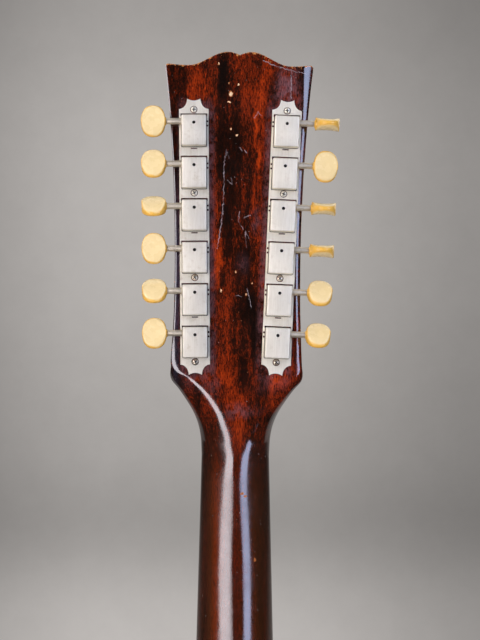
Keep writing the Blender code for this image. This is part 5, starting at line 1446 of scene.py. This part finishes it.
def build_face():
    """The black veneer, the truss rod's cover and its screws."""
    into = HEADSTOCK.inverted()
    places = [into @ post_place(side, index) for side in SIDES for index in range(6)]
    bores = [moved(hole(0.0, 0.0, BUSHING_BORE, -0.022, -0.010), place) for place in places]
    veneer = cut(slab(crown_outline(), -VENEER_THICKNESS, -GLUE_LINE), joined(*bores))
    piece("face_veneer", veneer, LACQUER, matrix=HEADSTOCK, bevel=0.0003, replaces=["headstock_veneer"])
    high = -VENEER_THICKNESS - SEAT_GAP
    low = high - TRUSS_COVER_THICKNESS
    cover = slab(smooth_loop(TRUSS_COVER_OUTLINE, 8), low, high)
    piece("truss_cover", cover, BLACK, matrix=HEADSTOCK, bevel=0.0005, replaces=["truss_rod_cover"])
    for number, (x, z) in enumerate(TRUSS_COVER_SCREWS):
        place = HEADSTOCK @ placed(x, low, z, turn=0.4 + number)
        screw(f"truss_cover_screw_{number + 1}", 0.0014, 0.0005, place)


# Fingerboard


def board_front(x):
    return FINGERBOARD_THICKNESS - x * x / (2 * FINGERBOARD_RADIUS)


def board_strip(left, right, top=0.0, back=-GLUE_LINE, stations=9):
    """A strip along the fingerboard between two offsets from its edges, crowned like the board."""
    rings = []
    for k in range(13):
        distance = BOARD_END * k / 12
        half = neck_half_width(distance)
        low, high = left(half), right(half)
        xs = [low + (high - low) * j / (stations - 1) for j in range(stations)]
        ring = [(x, -board_front(x) - top, -distance) for x in xs]
        rings.append([(high, back, -distance), (low, back, -distance), *ring])
    return loft(rings)


def fret_bar(fret):
    """A fret that follows the board's crown, lower at its two ends."""
    at = fret_distance(fret)
    half = neck_half_width(at)
    rings = []
    for j in range(15):
        x = half * (2 * j / 14 - 1) * 0.995
        shrink = 1.0 if 0 < j < 14 else 0.35
        ring = []
        for k in range(8):
            angle = math.pi * k / 7
            rise = FRET_HEIGHT * math.sin(angle) ** 0.8 * shrink
            ring.append((x, -board_front(x) - rise, -at + FRET_WIDTH / 2 * math.cos(angle)))
        for step in (-FRET_WIDTH / 4, FRET_WIDTH / 4):
            ring.append((x, -board_front(x) + 0.0006, -at + step))
        rings.append(ring)
    return loft(rings)


def build_fingerboard():
    """Rosewood between cream binding, nickel frets, and pearl dots."""
    wide = BINDING_WIDTH
    board = board_strip(lambda half: wide - half, lambda half: half - wide)
    piece("rosewood_board", board, ROSEWOOD, smooth=25, replaces=["fingerboard"])
    for side, sign in SIDES.items():
        strip = board_strip(
            lambda half: min(sign * half, sign * (half - wide)),
            lambda half: max(sign * half, sign * (half - wide)),
            stations=3,
        )
        piece(f"{side}_board_binding", strip, CREAM, bevel=0.0003)
    for fret in range(1, FRETS + 1):
        piece(f"fret_{fret}", fret_bar(fret), FRET_METAL, smooth=50)
    for fret in DOT_FRETS:
        middle = (fret_distance(fret) + fret_distance(fret - 1)) / 2
        half = neck_half_width(middle)
        for number, x in enumerate((-0.0125, 0.0125) if fret == 12 else (0.0,)):
            dot = turned([(0.0031, -0.0010), (0.0031, 0.00004), (0.0029, 0.00006)], 32)
            piece(f"dot_{fret}_{number + 1}", dot, PEARL, matrix=placed(x, -board_front(x), -middle))
        for number, step in enumerate((-0.004, 0.004) if fret == 12 else (0.0,)):
            dot = turned([(0.0010, -0.0008), (0.0010, 0.00004), (0.0008, 0.00008)], 16)
            place = placed(-half, -0.0030, -middle + step, Matrix.Rotation(math.radians(-90), 4, "Y"))
            piece(f"side_dot_{fret}_{number + 1}", dot, BLACK, matrix=place)


# Body


def smooth_loop(knots, steps):
    """Points on a smooth closed curve through (x, z) knots."""
    points = []
    n = len(knots)
    for k in range(n):
        p0, p1, p2, p3 = (Vector(knots[(k + d) % n]) for d in (-1, 0, 1, 2))
        for step in range(steps):
            t = step / steps
            bend = (2 * p0 - 5 * p1 + 4 * p2 - p3) * t**2
            twist = (3 * p1 - p0 - 3 * p2 + p3) * t**3
            points.append((2 * p1 + (p2 - p0) * t + bend + twist) / 2)
    return points


def body_outline(shares, count):
    """Evenly spaced points on the body's outline, from half of its shares and their mirror image."""
    half = [(x * BODY_HALF_WIDTH, BODY_TAIL_Z + z * BODY_LENGTH) for x, z in shares]
    fine = smooth_loop(half + [(-x, z) for x, z in reversed(half[1:-1])], 16)
    lengths = [0.0]
    for a, b in zip(fine, fine[1:] + fine[:1]):
        lengths.append(lengths[-1] + (b - a).length)
    points = []
    k = 0
    for i in range(count):
        want = lengths[-1] * i / count
        while lengths[k + 1] < want:
            k += 1
        share = (want - lengths[k]) / (lengths[k + 1] - lengths[k])
        points.append(fine[k] + (fine[(k + 1) % len(fine)] - fine[k]) * share)
    return points


BODY_EDGE = body_outline(BODY_OUTLINE, BODY_POINTS)
ARCH_EDGE = body_outline(BODY_OUTLINE[:-4] + NECK_JOINT_ARCH, 84)
PLATEAU_Y = BODY_EDGE_Y - ARCH_HEIGHT


def inset_outline(distance):
    shifted = []
    for i, point in enumerate(BODY_EDGE):
        along = (BODY_EDGE[(i + 1) % BODY_POINTS] - BODY_EDGE[i - 1]).normalized()
        shifted.append(point + Vector((-along.y, along.x)) * distance)
    return shifted


def edge_distance(x, z, edge):
    """Distance from a point to a closed outline."""
    point = Vector((x, z))
    best = 1.0
    for a, b in zip(edge, edge[1:] + edge[:1]):
        along = b - a
        share = clamped((point - a).dot(along) / along.length_squared)
        best = min(best, (point - a - along * share).length)
    return best


def top_y(x, z):
    """The carved top's surface: flat at the rim, then rising to a plateau."""
    share = clamped((edge_distance(x, z, ARCH_EDGE) - ARCH_FLAT_RIM) / ARCH_WIDTH)
    return BODY_EDGE_Y - ARCH_HEIGHT * (1 - math.cos(math.pi * share)) / 2


def level(points, y):
    return [(p.x, y, p.y) for p in points]


def body_mesh():
    """The carved slab, with a step round its front edge for the binding."""
    centre = Vector((0, BODY_TAIL_Z + BODY_LENGTH / 2))

    def inwards(points, share):
        return [centre + (p - centre) * share for p in points]

    back = inset_outline(BODY_BACK_ROUND)
    rings = [level(inwards(back, share), BODY_BACK_Y) for share in (0.62, 0.72, 0.81, 0.89, 0.96)]
    for k in range(7):
        angle = math.radians(90) * k / 6
        inset = BODY_BACK_ROUND * (1 - math.sin(angle))
        y = BODY_BACK_Y - BODY_BACK_ROUND * (1 - math.cos(angle))
        rings.append(level(inset_outline(inset), y))
    binding_back = BODY_EDGE_Y + BINDING_DEPTH
    rings.append(level(BODY_EDGE, (BODY_BACK_Y - BODY_BACK_ROUND + binding_back) / 2))
    rings.append(level(BODY_EDGE, binding_back))
    rings.append(level(inset_outline(BINDING_WIDTH), binding_back))
    rings.append(level(inset_outline(BINDING_WIDTH), BODY_EDGE_Y))
    rim = inset_outline(ARCH_FLAT_RIM)
    rings.append(level(rim, BODY_EDGE_Y))
    for k in range(1, 17):
        points = inwards(rim, 1 - 0.44 * k / 16)
        rings.append([(p.x, top_y(p.x, p.y) if k < 16 else PLATEAU_Y, p.y) for p in points])
    bm = loft(rings)
    bm.normal_update()
    bmesh.ops.triangulate(bm, faces=[f for f in bm.faces if len(f.verts) > 4])
    return bm


def neck_pocket():
    """The cutter for the pocket that the neck's tenon sits in."""
    half = neck_half_width(BOARD_END) + SEAT_GAP
    low = (-half, -0.016, -BOARD_END - SEAT_GAP)
    return block(low, (half, TENON_DEPTH + SEAT_GAP, -HEEL + HEEL_LENGTH))


def grown(outline, distance):
    """A convex outline moved outwards from its middle."""
    middle = sum((Vector(p) for p in outline), Vector((0, 0))) / len(outline)
    return [tuple(Vector(p) + (Vector(p) - middle).normalized() * distance) for p in outline]


CONTROL_CENTRE = Vector((BODY_HALF_WIDTH - CONTROL_INSET, BODY_TAIL_Z + CONTROL_RISE))
CAVITY_OUTLINE = [tuple(CONTROL_CENTRE + Vector(offset)) for offset in CAVITY_OFFSETS]


def middle_of(node):
    """A node's centre, and the lowest and highest corners of its box."""
    low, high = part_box(node)
    return (Vector(low) + Vector(high)) / 2, Vector(low), Vector(high)


def burst(co):
    """How dark the stain is towards the body's edge."""
    away = edge_distance(co.x, co.z, ARCH_EDGE)
    if BODY_EDGE_Y + 0.001 < co.y < BODY_BACK_Y - BODY_BACK_ROUND:
        return 1.0
    return clamped(1 - (away - 0.004) / 0.042)


def body_tools():
    """Cutters for the neck pocket, the routs, the cavity and its ledge, and the holes of the controls."""
    tools = [neck_pocket()]
    for node in PICKUPS:
        middle, low, high = middle_of(node)
        reach = Vector((PICKUP_HALF_LENGTH + 0.0006, 0, PICKUP_HALF_WIDTH + 0.0006))
        corner, other = middle - reach, middle + reach
        tools.append(block((corner.x, -0.016, corner.z), (other.x, high.y + SEAT_GAP, other.z)))
    over = BODY_BACK_Y + 0.004
    tools.append(slab(smooth_loop(CAVITY_OUTLINE, 8), PLATEAU_Y + 0.010, over))
    ledge = grown(CAVITY_OUTLINE, CONTROL_COVER_LEDGE + SEAT_GAP)
    tools.append(slab(smooth_loop(ledge, 8), BODY_BACK_Y - CONTROL_COVER_THICKNESS - SEAT_GAP, over))
    for node, radius in [(name, 0.0033) for name in KNOBS] + [("selector_lever", 0.0043)]:
        middle = middle_of(node)[0]
        tools.append(rod((middle.x, -0.016, middle.z), (middle.x, PLATEAU_Y + 0.014, middle.z), radius))
    middle, low, high = middle_of("output_jack")
    y, z = middle.y, middle.z
    seat = high.x - JACK_BUSH_REACH - JACK_PLATE_THICKNESS - SEAT_GAP
    size = JACK_PLATE_HALF_SIZE + SEAT_GAP
    tools.append(block((seat, y - size, z - size), (seat + 0.01, y + size, z + size)))
    return tools + [rod((seat - 0.030, y, z), (seat + 0.012, y, z), 0.0063)]


def build_body():
    """The body, and the binding in the step round its front edge."""
    wood = piece("body_wood", cut(body_mesh(), *body_tools()), BODY_WOOD, smooth=30, replaces=["body"])
    paint(wood, "burst", burst)
    front, back = BODY_EDGE_Y, BODY_EDGE_Y + BINDING_DEPTH
    section_points = (
        (BINDING_WIDTH, back), (0.0, back), (0.0, front + 0.0005), (0.00015, front + 0.00015),
        (0.0005, front), (BINDING_WIDTH, front), (BINDING_WIDTH, back),
    )
    binding = loft([level(inset_outline(inset), y) for inset, y in section_points], caps=False)
    bmesh.ops.remove_doubles(binding, verts=binding.verts, dist=1e-7)
    piece("body_binding", cut(binding, neck_pocket()), CREAM)


# Hardware on the body


def build_pickups():
    """Nickel covers with pole screws, in cream rings held by screws."""
    for node in PICKUPS:
        middle, low, high = middle_of(node)
        z, front = middle.z, low.y
        tag = node.split("_")[0]
        across, along = PICKUP_HALF_LENGTH, PICKUP_HALF_WIDTH
        shell = block((-across, front, z - along), (across, high.y, z + along))
        row = z + (0.0090 if tag == "neck" else -0.0090)
        xs = [(k - 2.5) * COURSE_PITCHES[tag] for k in range(6)]
        holes = [rod((x, front - 0.002, row), (x, front + 0.002, row), 0.0026) for x in xs]
        shell = cut(shell, joined(*holes))
        piece(f"{tag}_pickup_cover", shell, CHROME, bevel=0.0013, segments=4, replaces=[node])
        for number, x in enumerate(xs):
            place = placed(x, front + 0.0007, row, turn=number * 0.7)
            screw(f"{tag}_pole_screw_{number + 1}", 0.0024, 0.0005, place, NICKEL, cross=False)
        foot = PLATEAU_Y - SEAT_GAP
        top = foot - PICKUP_RING_HEIGHT
        outer = block((low.x, top, low.z), (high.x, foot, high.z))
        across, along = across + SEAT_GAP, along + SEAT_GAP
        inner = block((-across, top - 0.01, z - along), (across, top + 0.02, z + along))
        piece(f"{tag}_pickup_ring", cut(outer, inner), CREAM, bevel=0.0010, segments=3)
        x, step = high.x - 0.0036, PICKUP_HALF_WIDTH + 0.0002
        spots = [(sx * x, z + sz * step) for sx in (-1, 1) for sz in (-1, 1)]
        spots += [(sx * (PICKUP_HALF_LENGTH + 0.0056), z) for sx in (-1, 1)]
        for number, (x, at) in enumerate(spots):
            screw(f"{tag}_ring_screw_{number + 1}", 0.0018, 0.0006, placed(x, top, at, turn=0.5 + number))


def knurled(radius, low, high, sides=60):
    """A thumbwheel about Z with a ribbed rim."""
    rings = []
    for y, inset in ((low, 0.0003), (low + 0.0003, 0.0), (high - 0.0003, 0.0), (high, 0.0003)):
        reaches = [radius - inset - (0.00025 if k % 2 else 0.0) for k in range(sides)]
        rings.append([(reach * a, reach * b, y) for reach, (a, b) in zip(reaches, circle(1.0, sides))])
    return loft(rings)


def string_x(order):
    """Where a string, counted from the bass, crosses the bridge."""
    return (order // 2 - 2.5) * COURSE_PITCHES["bridge"] + (order % 2 - 0.5) * STRING_GAP_AT_BRIDGE


def build_bridge():
    """A cast bar with six saddles on screws, on two posts with thumbwheels."""
    middle, low, high = middle_of("bridge")
    z, foot = middle.z, high.y
    tops = []
    for course in range(6):
        reach = max(abs(string_x(2 * course + k)) for k in range(2))
        tops.append(STRING_RISE_AT_BRIDGE - reach**2 / (2 * FINGERBOARD_RADIUS) - SEAT_GAP)
    front = min(tops) - 0.0016
    back = front - BRIDGE_BAR_HEIGHT
    half, wide = BRIDGE_HALF_LENGTH, BRIDGE_HALF_WIDTH
    bar = block((-half, -front, z - wide), (half, -back, z + wide))
    x, reach = half - 0.010, wide - 0.0018
    trough = block((-x, -front - 0.004, z - reach), (x, -front + 0.003, z + reach))
    piece("bridge_bar", cut(bar, trough), CHROME, bevel=0.0009, segments=4, replaces=["bridge"])
    for course, top in enumerate(tops):
        x = (course - 2.5) * COURSE_PITCHES["bridge"]
        outline = [(front - 0.0028, -0.0030), (front - 0.0028, 0.0030), (top - 0.0010, 0.0022)]
        outline += [(top, 0.0005), (top, -0.0005), (top - 0.0010, -0.0022)]
        saddle = loft([[(x + step, -rise, z + at) for rise, at in outline] for step in (-0.0042, 0.0042)])
        piece(f"saddle_{course + 1}", saddle, NICKEL, bevel=0.0002)
        at, reach = -front + 0.0016, wide - 0.001
        piece(f"saddle_screw_{course + 1}", rod((x, at, z - reach), (x, at, z + reach), 0.0008, 12), NICKEL)
    tall = foot + front
    profile = [(0.0021, 0.0), (0.0028, 0.0003), (0.0028, tall + 0.0004), (0.0024, tall + 0.0008)]
    for side, sign in SIDES.items():
        post = cut(turned(profile, 28), block((-0.004, -0.0004, tall), (0.004, 0.0004, tall + 0.002)))
        place = placed(sign * BRIDGE_POST_X, foot, z)
        piece(f"{side}_bridge_post", post, NICKEL, matrix=place)
        wheel = knurled(THUMBWHEEL_RADIUS, foot + back - 0.0018, foot + back - 0.0001)
        piece(f"{side}_thumbwheel", wheel, NICKEL, matrix=place)


def tailpiece_bar(axis_y, z):
    """A rounded square bar with softer ends, and the holes of the strings and studs."""
    rings = []
    steps, sides = 24, 36
    for k in range(steps + 1):
        x = TAILPIECE_HALF_LENGTH * math.sin(math.pi * (k / steps - 0.5))
        end = max(0.0, (abs(x) - TAILPIECE_HALF_LENGTH + 0.004) / 0.004)
        size = TAILPIECE_RADIUS * (1 - 0.35 * end**2)
        ring = []
        for c, s in circle(1.0, sides):
            reach = size / (abs(c) ** 2.5 + abs(s) ** 2.5) ** (1 / 2.5)
            ring.append((x, axis_y + reach * c, z + reach * s))
        rings.append(ring)
    xs = [string_x(order) for order in range(12)]
    holes = [rod((x, axis_y, z - 0.02), (x, axis_y, z + 0.02), 0.0011, 12) for x in xs]
    xs = [sign * TAILPIECE_STUD_X for sign in SIDES.values()]
    holes += [rod((x, axis_y - 0.02, z), (x, axis_y + 0.02, z), 0.0052, 32) for x in xs]
    return cut(loft(rings), joined(*holes))


def build_tailpiece():
    """A rounded bar that the strings pass through, on two slotted studs."""
    middle, low, high = middle_of("tailpiece")
    bar = tailpiece_bar(PLATEAU_Y - TAILPIECE_LIFT - TAILPIECE_RADIUS, middle.z)
    piece("tailpiece_bar", bar, CHROME, smooth=45, replaces=["tailpiece"])
    tall = high.y - low.y
    profile = [
        (0.0060, 0.0), (0.0064, 0.0003), (0.0064, 0.0014), (0.0050, 0.0016), (0.0050, tall - 0.0042),
        (0.0060, tall - 0.0040), (0.0064, tall - 0.0034), (0.0064, tall - 0.0012),
        (0.0056, tall - 0.0003), (0.0040, tall),
    ]
    for side, sign in SIDES.items():
        slot = block((-0.008, -0.0008, tall - 0.0022), (0.008, 0.0008, tall + 0.002))
        place = placed(sign * TAILPIECE_STUD_X, high.y, middle.z, turn=0.5 * sign)
        piece(f"{side}_tailpiece_stud", cut(turned(profile, 36), slot), NICKEL, matrix=place)


def build_pickguard():
    """The raised pickguard, with its spacers and screws."""
    front = middle_of("pickguard")[1].y
    back = front + PICKGUARD_THICKNESS
    inner = PICKUP_RING_HALF_LENGTH + PICKGUARD_TO_PICKUPS
    top = middle_of("neck_pickup")[2].z
    reach = top - middle_of("bridge_pickup")[1].z
    outline, spacers = (
        [(inner + x * PICKGUARD_WIDTH, top - z * reach) for x, z in shares]
        for shares in (PICKGUARD_OUTLINE, PICKGUARD_SPACERS)
    )
    plate = slab(smooth_loop(outline, 10), front, back)
    piece("pickguard_plate", plate, BLACK, bevel=0.0007, segments=3, replaces=["pickguard"])
    for number, (x, z) in enumerate(spacers):
        spacer = rod((x, back - 0.0002, z), (x, top_y(x, z) - 0.0005, z), 0.0029)
        piece(f"pickguard_spacer_{number + 1}", spacer, BLACK)
        place = placed(x, front, z, turn=0.9 * number + 0.3)
        screw(f"pickguard_screw_{number + 1}", 0.0021, 0.0007, place)


def build_knobs():
    """Amber knobs with a skirt and a pointer line."""
    profile = [
        (KNOB_SHAFT_RADIUS, -0.0160), (KNOB_SHAFT_RADIUS, 0.0), (KNOB_RADIUS - 0.0003, 0.0),
        (KNOB_RADIUS, 0.0003), (KNOB_RADIUS, 0.0013), (KNOB_RADIUS - 0.0005, 0.0019),
        (KNOB_TOP_RADIUS + 0.0009, 0.0056), (KNOB_TOP_RADIUS + 0.0002, 0.0072),
        (KNOB_TOP_RADIUS, 0.0090), (KNOB_TOP_RADIUS - 0.0001, KNOB_HEIGHT - 0.0008),
        (KNOB_TOP_RADIUS - 0.0005, KNOB_HEIGHT - 0.0002), (KNOB_TOP_RADIUS - 0.0010, KNOB_HEIGHT),
        (KNOB_TOP_RADIUS - 0.0024, KNOB_HEIGHT - 0.0002),
        (KNOB_TOP_RADIUS - 0.0030, KNOB_HEIGHT - 0.0006),
    ]
    for node in KNOBS:
        middle, low, high = middle_of(node)
        body = node.replace("_knob", "")
        rides = {"body": body, "matrix": placed(middle.x, low.y + KNOB_HEIGHT, middle.z)}
        piece(body + "_cap", turned(profile, 56), AMBER, replaces=[node], **rides)
        mark = block((KNOB_TOP_RADIUS + 0.0012, -0.0003, 0.0022), (KNOB_RADIUS - 0.0010, 0.0003, 0.0042))
        piece(body + "_pointer", mark, CREAM, slot="amber_plastic", **rides)


def build_selector():
    """The switch: a plate and a nut on the top, and the lever with its tip."""
    middle, low, high = middle_of("selector_lever")
    pivot = high.y - SELECTOR_BALL_RADIUS
    place = placed(middle.x, pivot, middle.z)
    reach = pivot - low.y
    lever = [
        (0.0010, -SELECTOR_BALL_RADIUS * 0.96), (0.0028, -SELECTOR_BALL_RADIUS * 0.72),
        (0.0038, -0.0012), (0.0039, 0.0006), (0.0028, 0.0026), (0.0016, 0.0034), (0.0015, reach * 0.52),
    ]
    rides = {"body": "selector", "matrix": place}
    piece("selector_rod", turned(lever, 28), CHROME, replaces=["selector_lever"], **rides)
    tip = [(0.0021, reach * 0.47), (0.0026, reach * 0.50)]
    for k in range(1, 13):
        angle = math.radians(180) * k / 12
        across = 0.0026 + 0.0018 * math.sin(angle) if k < 7 else 0.0044 * math.sin(angle) + 0.0001
        tip.append((max(across, 0.0006), reach * (0.50 + 0.50 * k / 12)))
    piece("selector_tip", turned(tip, 32), AMBER, slot="cream_plastic", **rides)
    top = pivot - top_y(middle.x, middle.z)
    nut = washer([(0.0074, top + 0.0012), (0.0074, top + 0.0028), (0.0066, top + 0.0032)], 6, 0.0050)
    piece("selector_nut", nut, CHROME, matrix=place, bevel=0.0002)
    plate = washer([(0.0125, top + 0.0003), (0.0125, top + 0.0008), (0.0118, top + 0.0011)], 48, 0.0050)
    piece("selector_plate", plate, CREAM, matrix=place)


def build_jack():
    """The jack's plate with its screws, and the nut and bush round the socket."""
    middle, low, high = middle_of("output_jack")
    y, z = middle.y, middle.z
    face = high.x - JACK_BUSH_REACH
    back = face - JACK_PLATE_THICKNESS
    size = JACK_PLATE_HALF_SIZE
    bore = rod((back - 0.024, y, z), (back + 0.02, y, z), 0.0034)
    plate = cut(block((back, y - size, z - size), (face, y + size, z + size)), bore)
    piece("jack_plate", plate, CHROME, bevel=0.0008, segments=3, replaces=["output_jack"])
    turn = Matrix.Rotation(math.radians(90), 4, "Y")
    place = placed(face, y, z, turn)
    profile = [(0.0060, -0.0284), (0.0060, -0.0020), (0.0046, -0.0018), (0.0046, 0.0027), (0.0042, 0.0030)]
    piece("jack_bush", washer(profile, 32, 0.0034, low=-0.05), NICKEL, matrix=place)
    nut = washer([(0.0072, 0.0002), (0.0072, 0.0018), (0.0064, 0.0022)], 6, 0.0047)
    piece("jack_nut", nut, CHROME, matrix=place, bevel=0.0002)
    for number, (sy, sz) in enumerate(((-1, -1), (-1, 1), (1, -1), (1, 1))):
        spot = placed(face, y + sy * 0.0105, z + sz * 0.0105, turn)
        screw(f"jack_screw_{number + 1}", 0.0017, 0.0006, spot)


def build_control_cover():
    """The plate over the controls, flush in the back, with its screws."""
    outline = smooth_loop(grown(CAVITY_OUTLINE, CONTROL_COVER_LEDGE), 8)
    plate = slab(outline, BODY_BACK_Y - CONTROL_COVER_THICKNESS, BODY_BACK_Y)
    piece("cavity_cover", plate, BLACK, bevel=0.0004, replaces=["control_cover"])
    for number, (x, z) in enumerate(grown(CAVITY_OUTLINE, 0.0014)):
        if number != 2:
            place = placed(x, BODY_BACK_Y - 0.0004, z, OUT_OF_BACK, number * 0.8)
            screw(f"cavity_screw_{number + 1}", 0.0019, 0.0004, place)


def build_strap_buttons():
    """Strap buttons on the tail and behind the heel, each with its screw and felt washer."""
    length = STRAP_BUTTON_LENGTH
    profile = [
        (0.0062, 0.0008), (0.0065, 0.0012), (0.0058, 0.0020), (0.0048, 0.0032), (0.0045, 0.0048),
        (0.0045, 0.0070), (0.0052, 0.0084), (0.0066, 0.0094), (0.0070, 0.0100), (0.0070, 0.0106),
        (0.0066, 0.0112), (0.0058, length - 0.0002), (0.0034, length - 0.0006),
    ]
    middle, low, high = middle_of("tail_strap_button")
    places = {"tail": placed(0, middle.y, high.z, Matrix.Rotation(math.pi, 4, "X"))}
    middle, low, high = middle_of("heel_strap_button")
    places["heel"] = placed(0, low.y, middle.z, OUT_OF_BACK)
    felt = [(0.0062, 0.0), (0.0070, 0.0002), (0.0070, 0.0008), (0.0060, 0.0010)]
    for tag, place in places.items():
        node = f"{tag}_strap_button"
        piece(f"{tag}_button_metal", turned(profile, 40), CHROME, matrix=place, replaces=[node])
        piece(f"{tag}_button_felt", turned(felt, 32), FELT, matrix=place)
        spot = place @ placed(0, 0, length - 0.0008, Matrix.Identity(4), 0.6)
        screw(f"{tag}_button_screw", 0.0026, 0.0006, spot, NICKEL)


build_face()
build_posts()
build_fingerboard()
build_body()
build_pickups()
build_bridge()
build_tailpiece()
build_pickguard()
build_knobs()
build_selector()
build_jack()
build_control_cover()
build_strap_buttons()


# The rest of the frame's own shapes

NODE_LOOKS = {
    "stained_mahogany": BODY_WOOD,
    "rosewood": BODY_WOOD,
    "black_lacquer": LACQUER,
    "bone": BONE,
    "aged_nickel": NICKEL,
    "string_steel": STRING_METAL,
    "cream_plastic": CREAM,
    "black_plastic": BLACK,
    "amber_plastic": CREAM,
}
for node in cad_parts.values():
    for place in node.material_slots:
        look = NODE_LOOKS.get(place.material.name.split(".")[0], NICKEL)
        place.material = look


# Stage and light


BACKDROP_LEVEL = 0.42
BACKDROP_TINT = (1.056, 1.0, 0.96)
# The backdrop's grey against height, and a factor for its brightness from one side to the other
BACKDROP_HEIGHTS = (
    (0.000, BACKDROP_LEVEL), (0.030, 0.425), (0.060, 0.405), (0.092, 0.350), (0.125, 0.258),
    (0.155, 0.266), (0.185, 0.302), (0.245, 0.332), (0.310, 0.374), (0.400, 0.384), (0.455, 0.352),
    (0.515, 0.268),
)
BACKDROP_SIDES = (
    (0.10, 0.70), (0.20, 0.88), (0.27, 0.97), (0.34, 1.10), (0.50, 1.17), (0.65, 1.19), (0.72, 1.12),
    (0.79, 0.98), (0.87, 0.80), (0.95, 0.66),
)


def tinted(level):
    return tuple(level * share for share in BACKDROP_TINT)


def build_floor():
    """A plain pale floor that runs out into the backdrop's grey."""
    bm = bmesh.new()
    bmesh.ops.create_grid(bm, x_segments=1, y_segments=1, size=14.0)
    mesh = bpy.data.meshes.new("floor")
    bm.to_mesh(mesh)
    bm.free()
    floor = bpy.data.objects.new("floor", mesh)
    bpy.context.scene.collection.objects.link(floor)
    floor.location.z = CAD_BOX[0][2] - 0.002
    look = Look("floor_paper")
    look.set(base_color=(0.66, 0.625, 0.60), roughness=0.95, specular_ior_level=0.0)
    path = look.add("ShaderNodeLightPath").outputs
    split = look.add("ShaderNodeSeparateXYZ", {0: look.where}).outputs
    behind = look.span(split["Y"], -1.1, -0.5)
    mirrored = look.math("MULTIPLY", look.math("SUBTRACT", 1.0, path["Is Camera Ray"]), behind)
    level = look.span(mirrored, 0.0, 1.0, BACKDROP_LEVEL, 0.02, smooth=False)
    far = look.add("ShaderNodeEmission", {"Color": (*BACKDROP_TINT, 1.0), "Strength": level}).outputs[0]
    distance = look.vector("LENGTH", look.where, output="Value")
    reflected = look.math("MAXIMUM", path["Is Glossy Ray"], path["Is Transmission Ray"])
    hidden = look.math("MULTIPLY", reflected, behind)
    share = look.math("MAXIMUM", look.span(distance, 1.3, 2.6), hidden)
    surface = look.tree.nodes["Material Output"].inputs["Surface"]
    look.feed(surface, look.mix(share, look.shader.outputs[0], far))
    floor.data.materials.append(look.material)
    return floor


def build_world():
    """The backdrop's soft grey for what sees it, and a plain fill for the object."""
    world = bpy.data.worlds.new("studio")
    bpy.context.scene.world = world
    world.use_nodes = True
    world.node_tree.nodes.clear()
    sky = Nodes(world.node_tree, "Generated")
    split = sky.add("ShaderNodeSeparateXYZ", {0: sky.where}).outputs

    def shade(colour, strength=1.0):
        colour = (*colour, 1.0) if isinstance(colour, tuple) else colour
        return sky.add("ShaderNodeBackground", {"Color": colour, "Strength": strength}).outputs[0]

    greys = [(place, tinted(level)) for place, level in BACKDROP_HEIGHTS]
    grey = sky.ramp(split["Z"], *greys, interpolation="B_SPLINE")
    sides = [(place, (level / 2, level / 2, level / 2)) for place, level in BACKDROP_SIDES]
    across = sky.math("MULTIPLY_ADD", split["X"], 2.0, 0.5)
    bright = sky.ramp(across, *sides, interpolation="B_SPLINE")
    cloth = sky.math("MULTIPLY_ADD", sky.noise(34.0, 9.0, rough=0.72), 0.30, 1.85)
    behind = shade(grey, sky.math("MULTIPLY", bright, cloth))
    low = sky.span(split["Z"], 0.0, 0.045, 1.0, 0.0)
    away = sky.math("MAXIMUM", sky.span(split["Y"], -0.82, -0.70), low)
    backdrop = sky.mix(away, behind, shade(tinted(BACKDROP_LEVEL)))
    aside = sky.math("ADD", split["Y"], sky.span(split["Z"], 0.0, 0.20, 0.0, 0.38))
    dark = shade((1.0, 0.97, 0.94), 0.025)
    mirrored = sky.mix(sky.span(aside, -0.60, -0.10), shade(BACKDROP_TINT, 0.30), dark)
    path = sky.add("ShaderNodeLightPath").outputs
    glossy = sky.math("MAXIMUM", path["Is Glossy Ray"], path["Is Transmission Ray"])
    lit = sky.mix(glossy, shade((1.0, 0.985, 0.965), 0.42), mirrored)
    sky.add("ShaderNodeOutputWorld", {"Surface": sky.mix(path["Is Camera Ray"], lit, backdrop)})


def lamp(name, azimuth, elevation, distance, width, height, strength, colour, centre, shape="RECTANGLE"):
    """A softbox seen from a point of the guitar at an angle from the camera's own axis."""
    light = bpy.data.lights.new(name, "AREA")
    light.shape = shape
    light.size, light.size_y = width, height
    light.energy = strength * width * height * math.pi * (1.0 if shape == "RECTANGLE" else math.pi / 4)
    light.color = colour
    obj = bpy.data.objects.new(name, light)
    bpy.context.scene.collection.objects.link(obj)
    obj.visible_camera = False
    turn = Matrix.Rotation(math.radians(azimuth), 3, "Z") @ Matrix.Rotation(math.radians(elevation), 3, "X")
    away = turn @ Vector((0, 1, 0))
    obj.location = Vector(centre) + away * distance
    obj.rotation_euler = away.to_track_quat("Z", "Y").to_euler()
    return obj


def build_lights(floor):
    """Two tall softboxes that leave the floor alone, and soft light from the front and above."""
    bare = bpy.data.collections.new("not_lit_by_softboxes")
    bare.objects.link(floor)
    bare.collection_objects[0].light_linking.link_state = "EXCLUDE"
    left = lamp("softbox_left", -33, 0, 0.72, 0.19, 1.32, 7.4, (1.0, 0.935, 0.985), (0, 0, -0.155))
    blue = (0.72, 0.83, 1.22)
    right = lamp("softbox_right", 35, 0, 0.95, 0.22, 1.30, 5.6, blue, (0, 0, 0.17), shape="ELLIPSE")
    lamp("front_left", 130, 48, 2.2, 1.2, 1.6, 1.6, (1.0, 0.98, 0.95), (0, 0, -0.4))
    lamp("front_right", -130, 48, 2.2, 1.2, 1.6, 1.3, (0.97, 0.98, 1.0), (0, 0, -0.4))
    for softbox in (left, right):
        softbox.light_linking.receiver_collection = bare
    lamp("overhead", 0, 88, 1.8, 1.2, 1.2, 1.0, (1.0, 1.0, 1.0), (0, 0, 0))


build_world()
build_lights(build_floor())
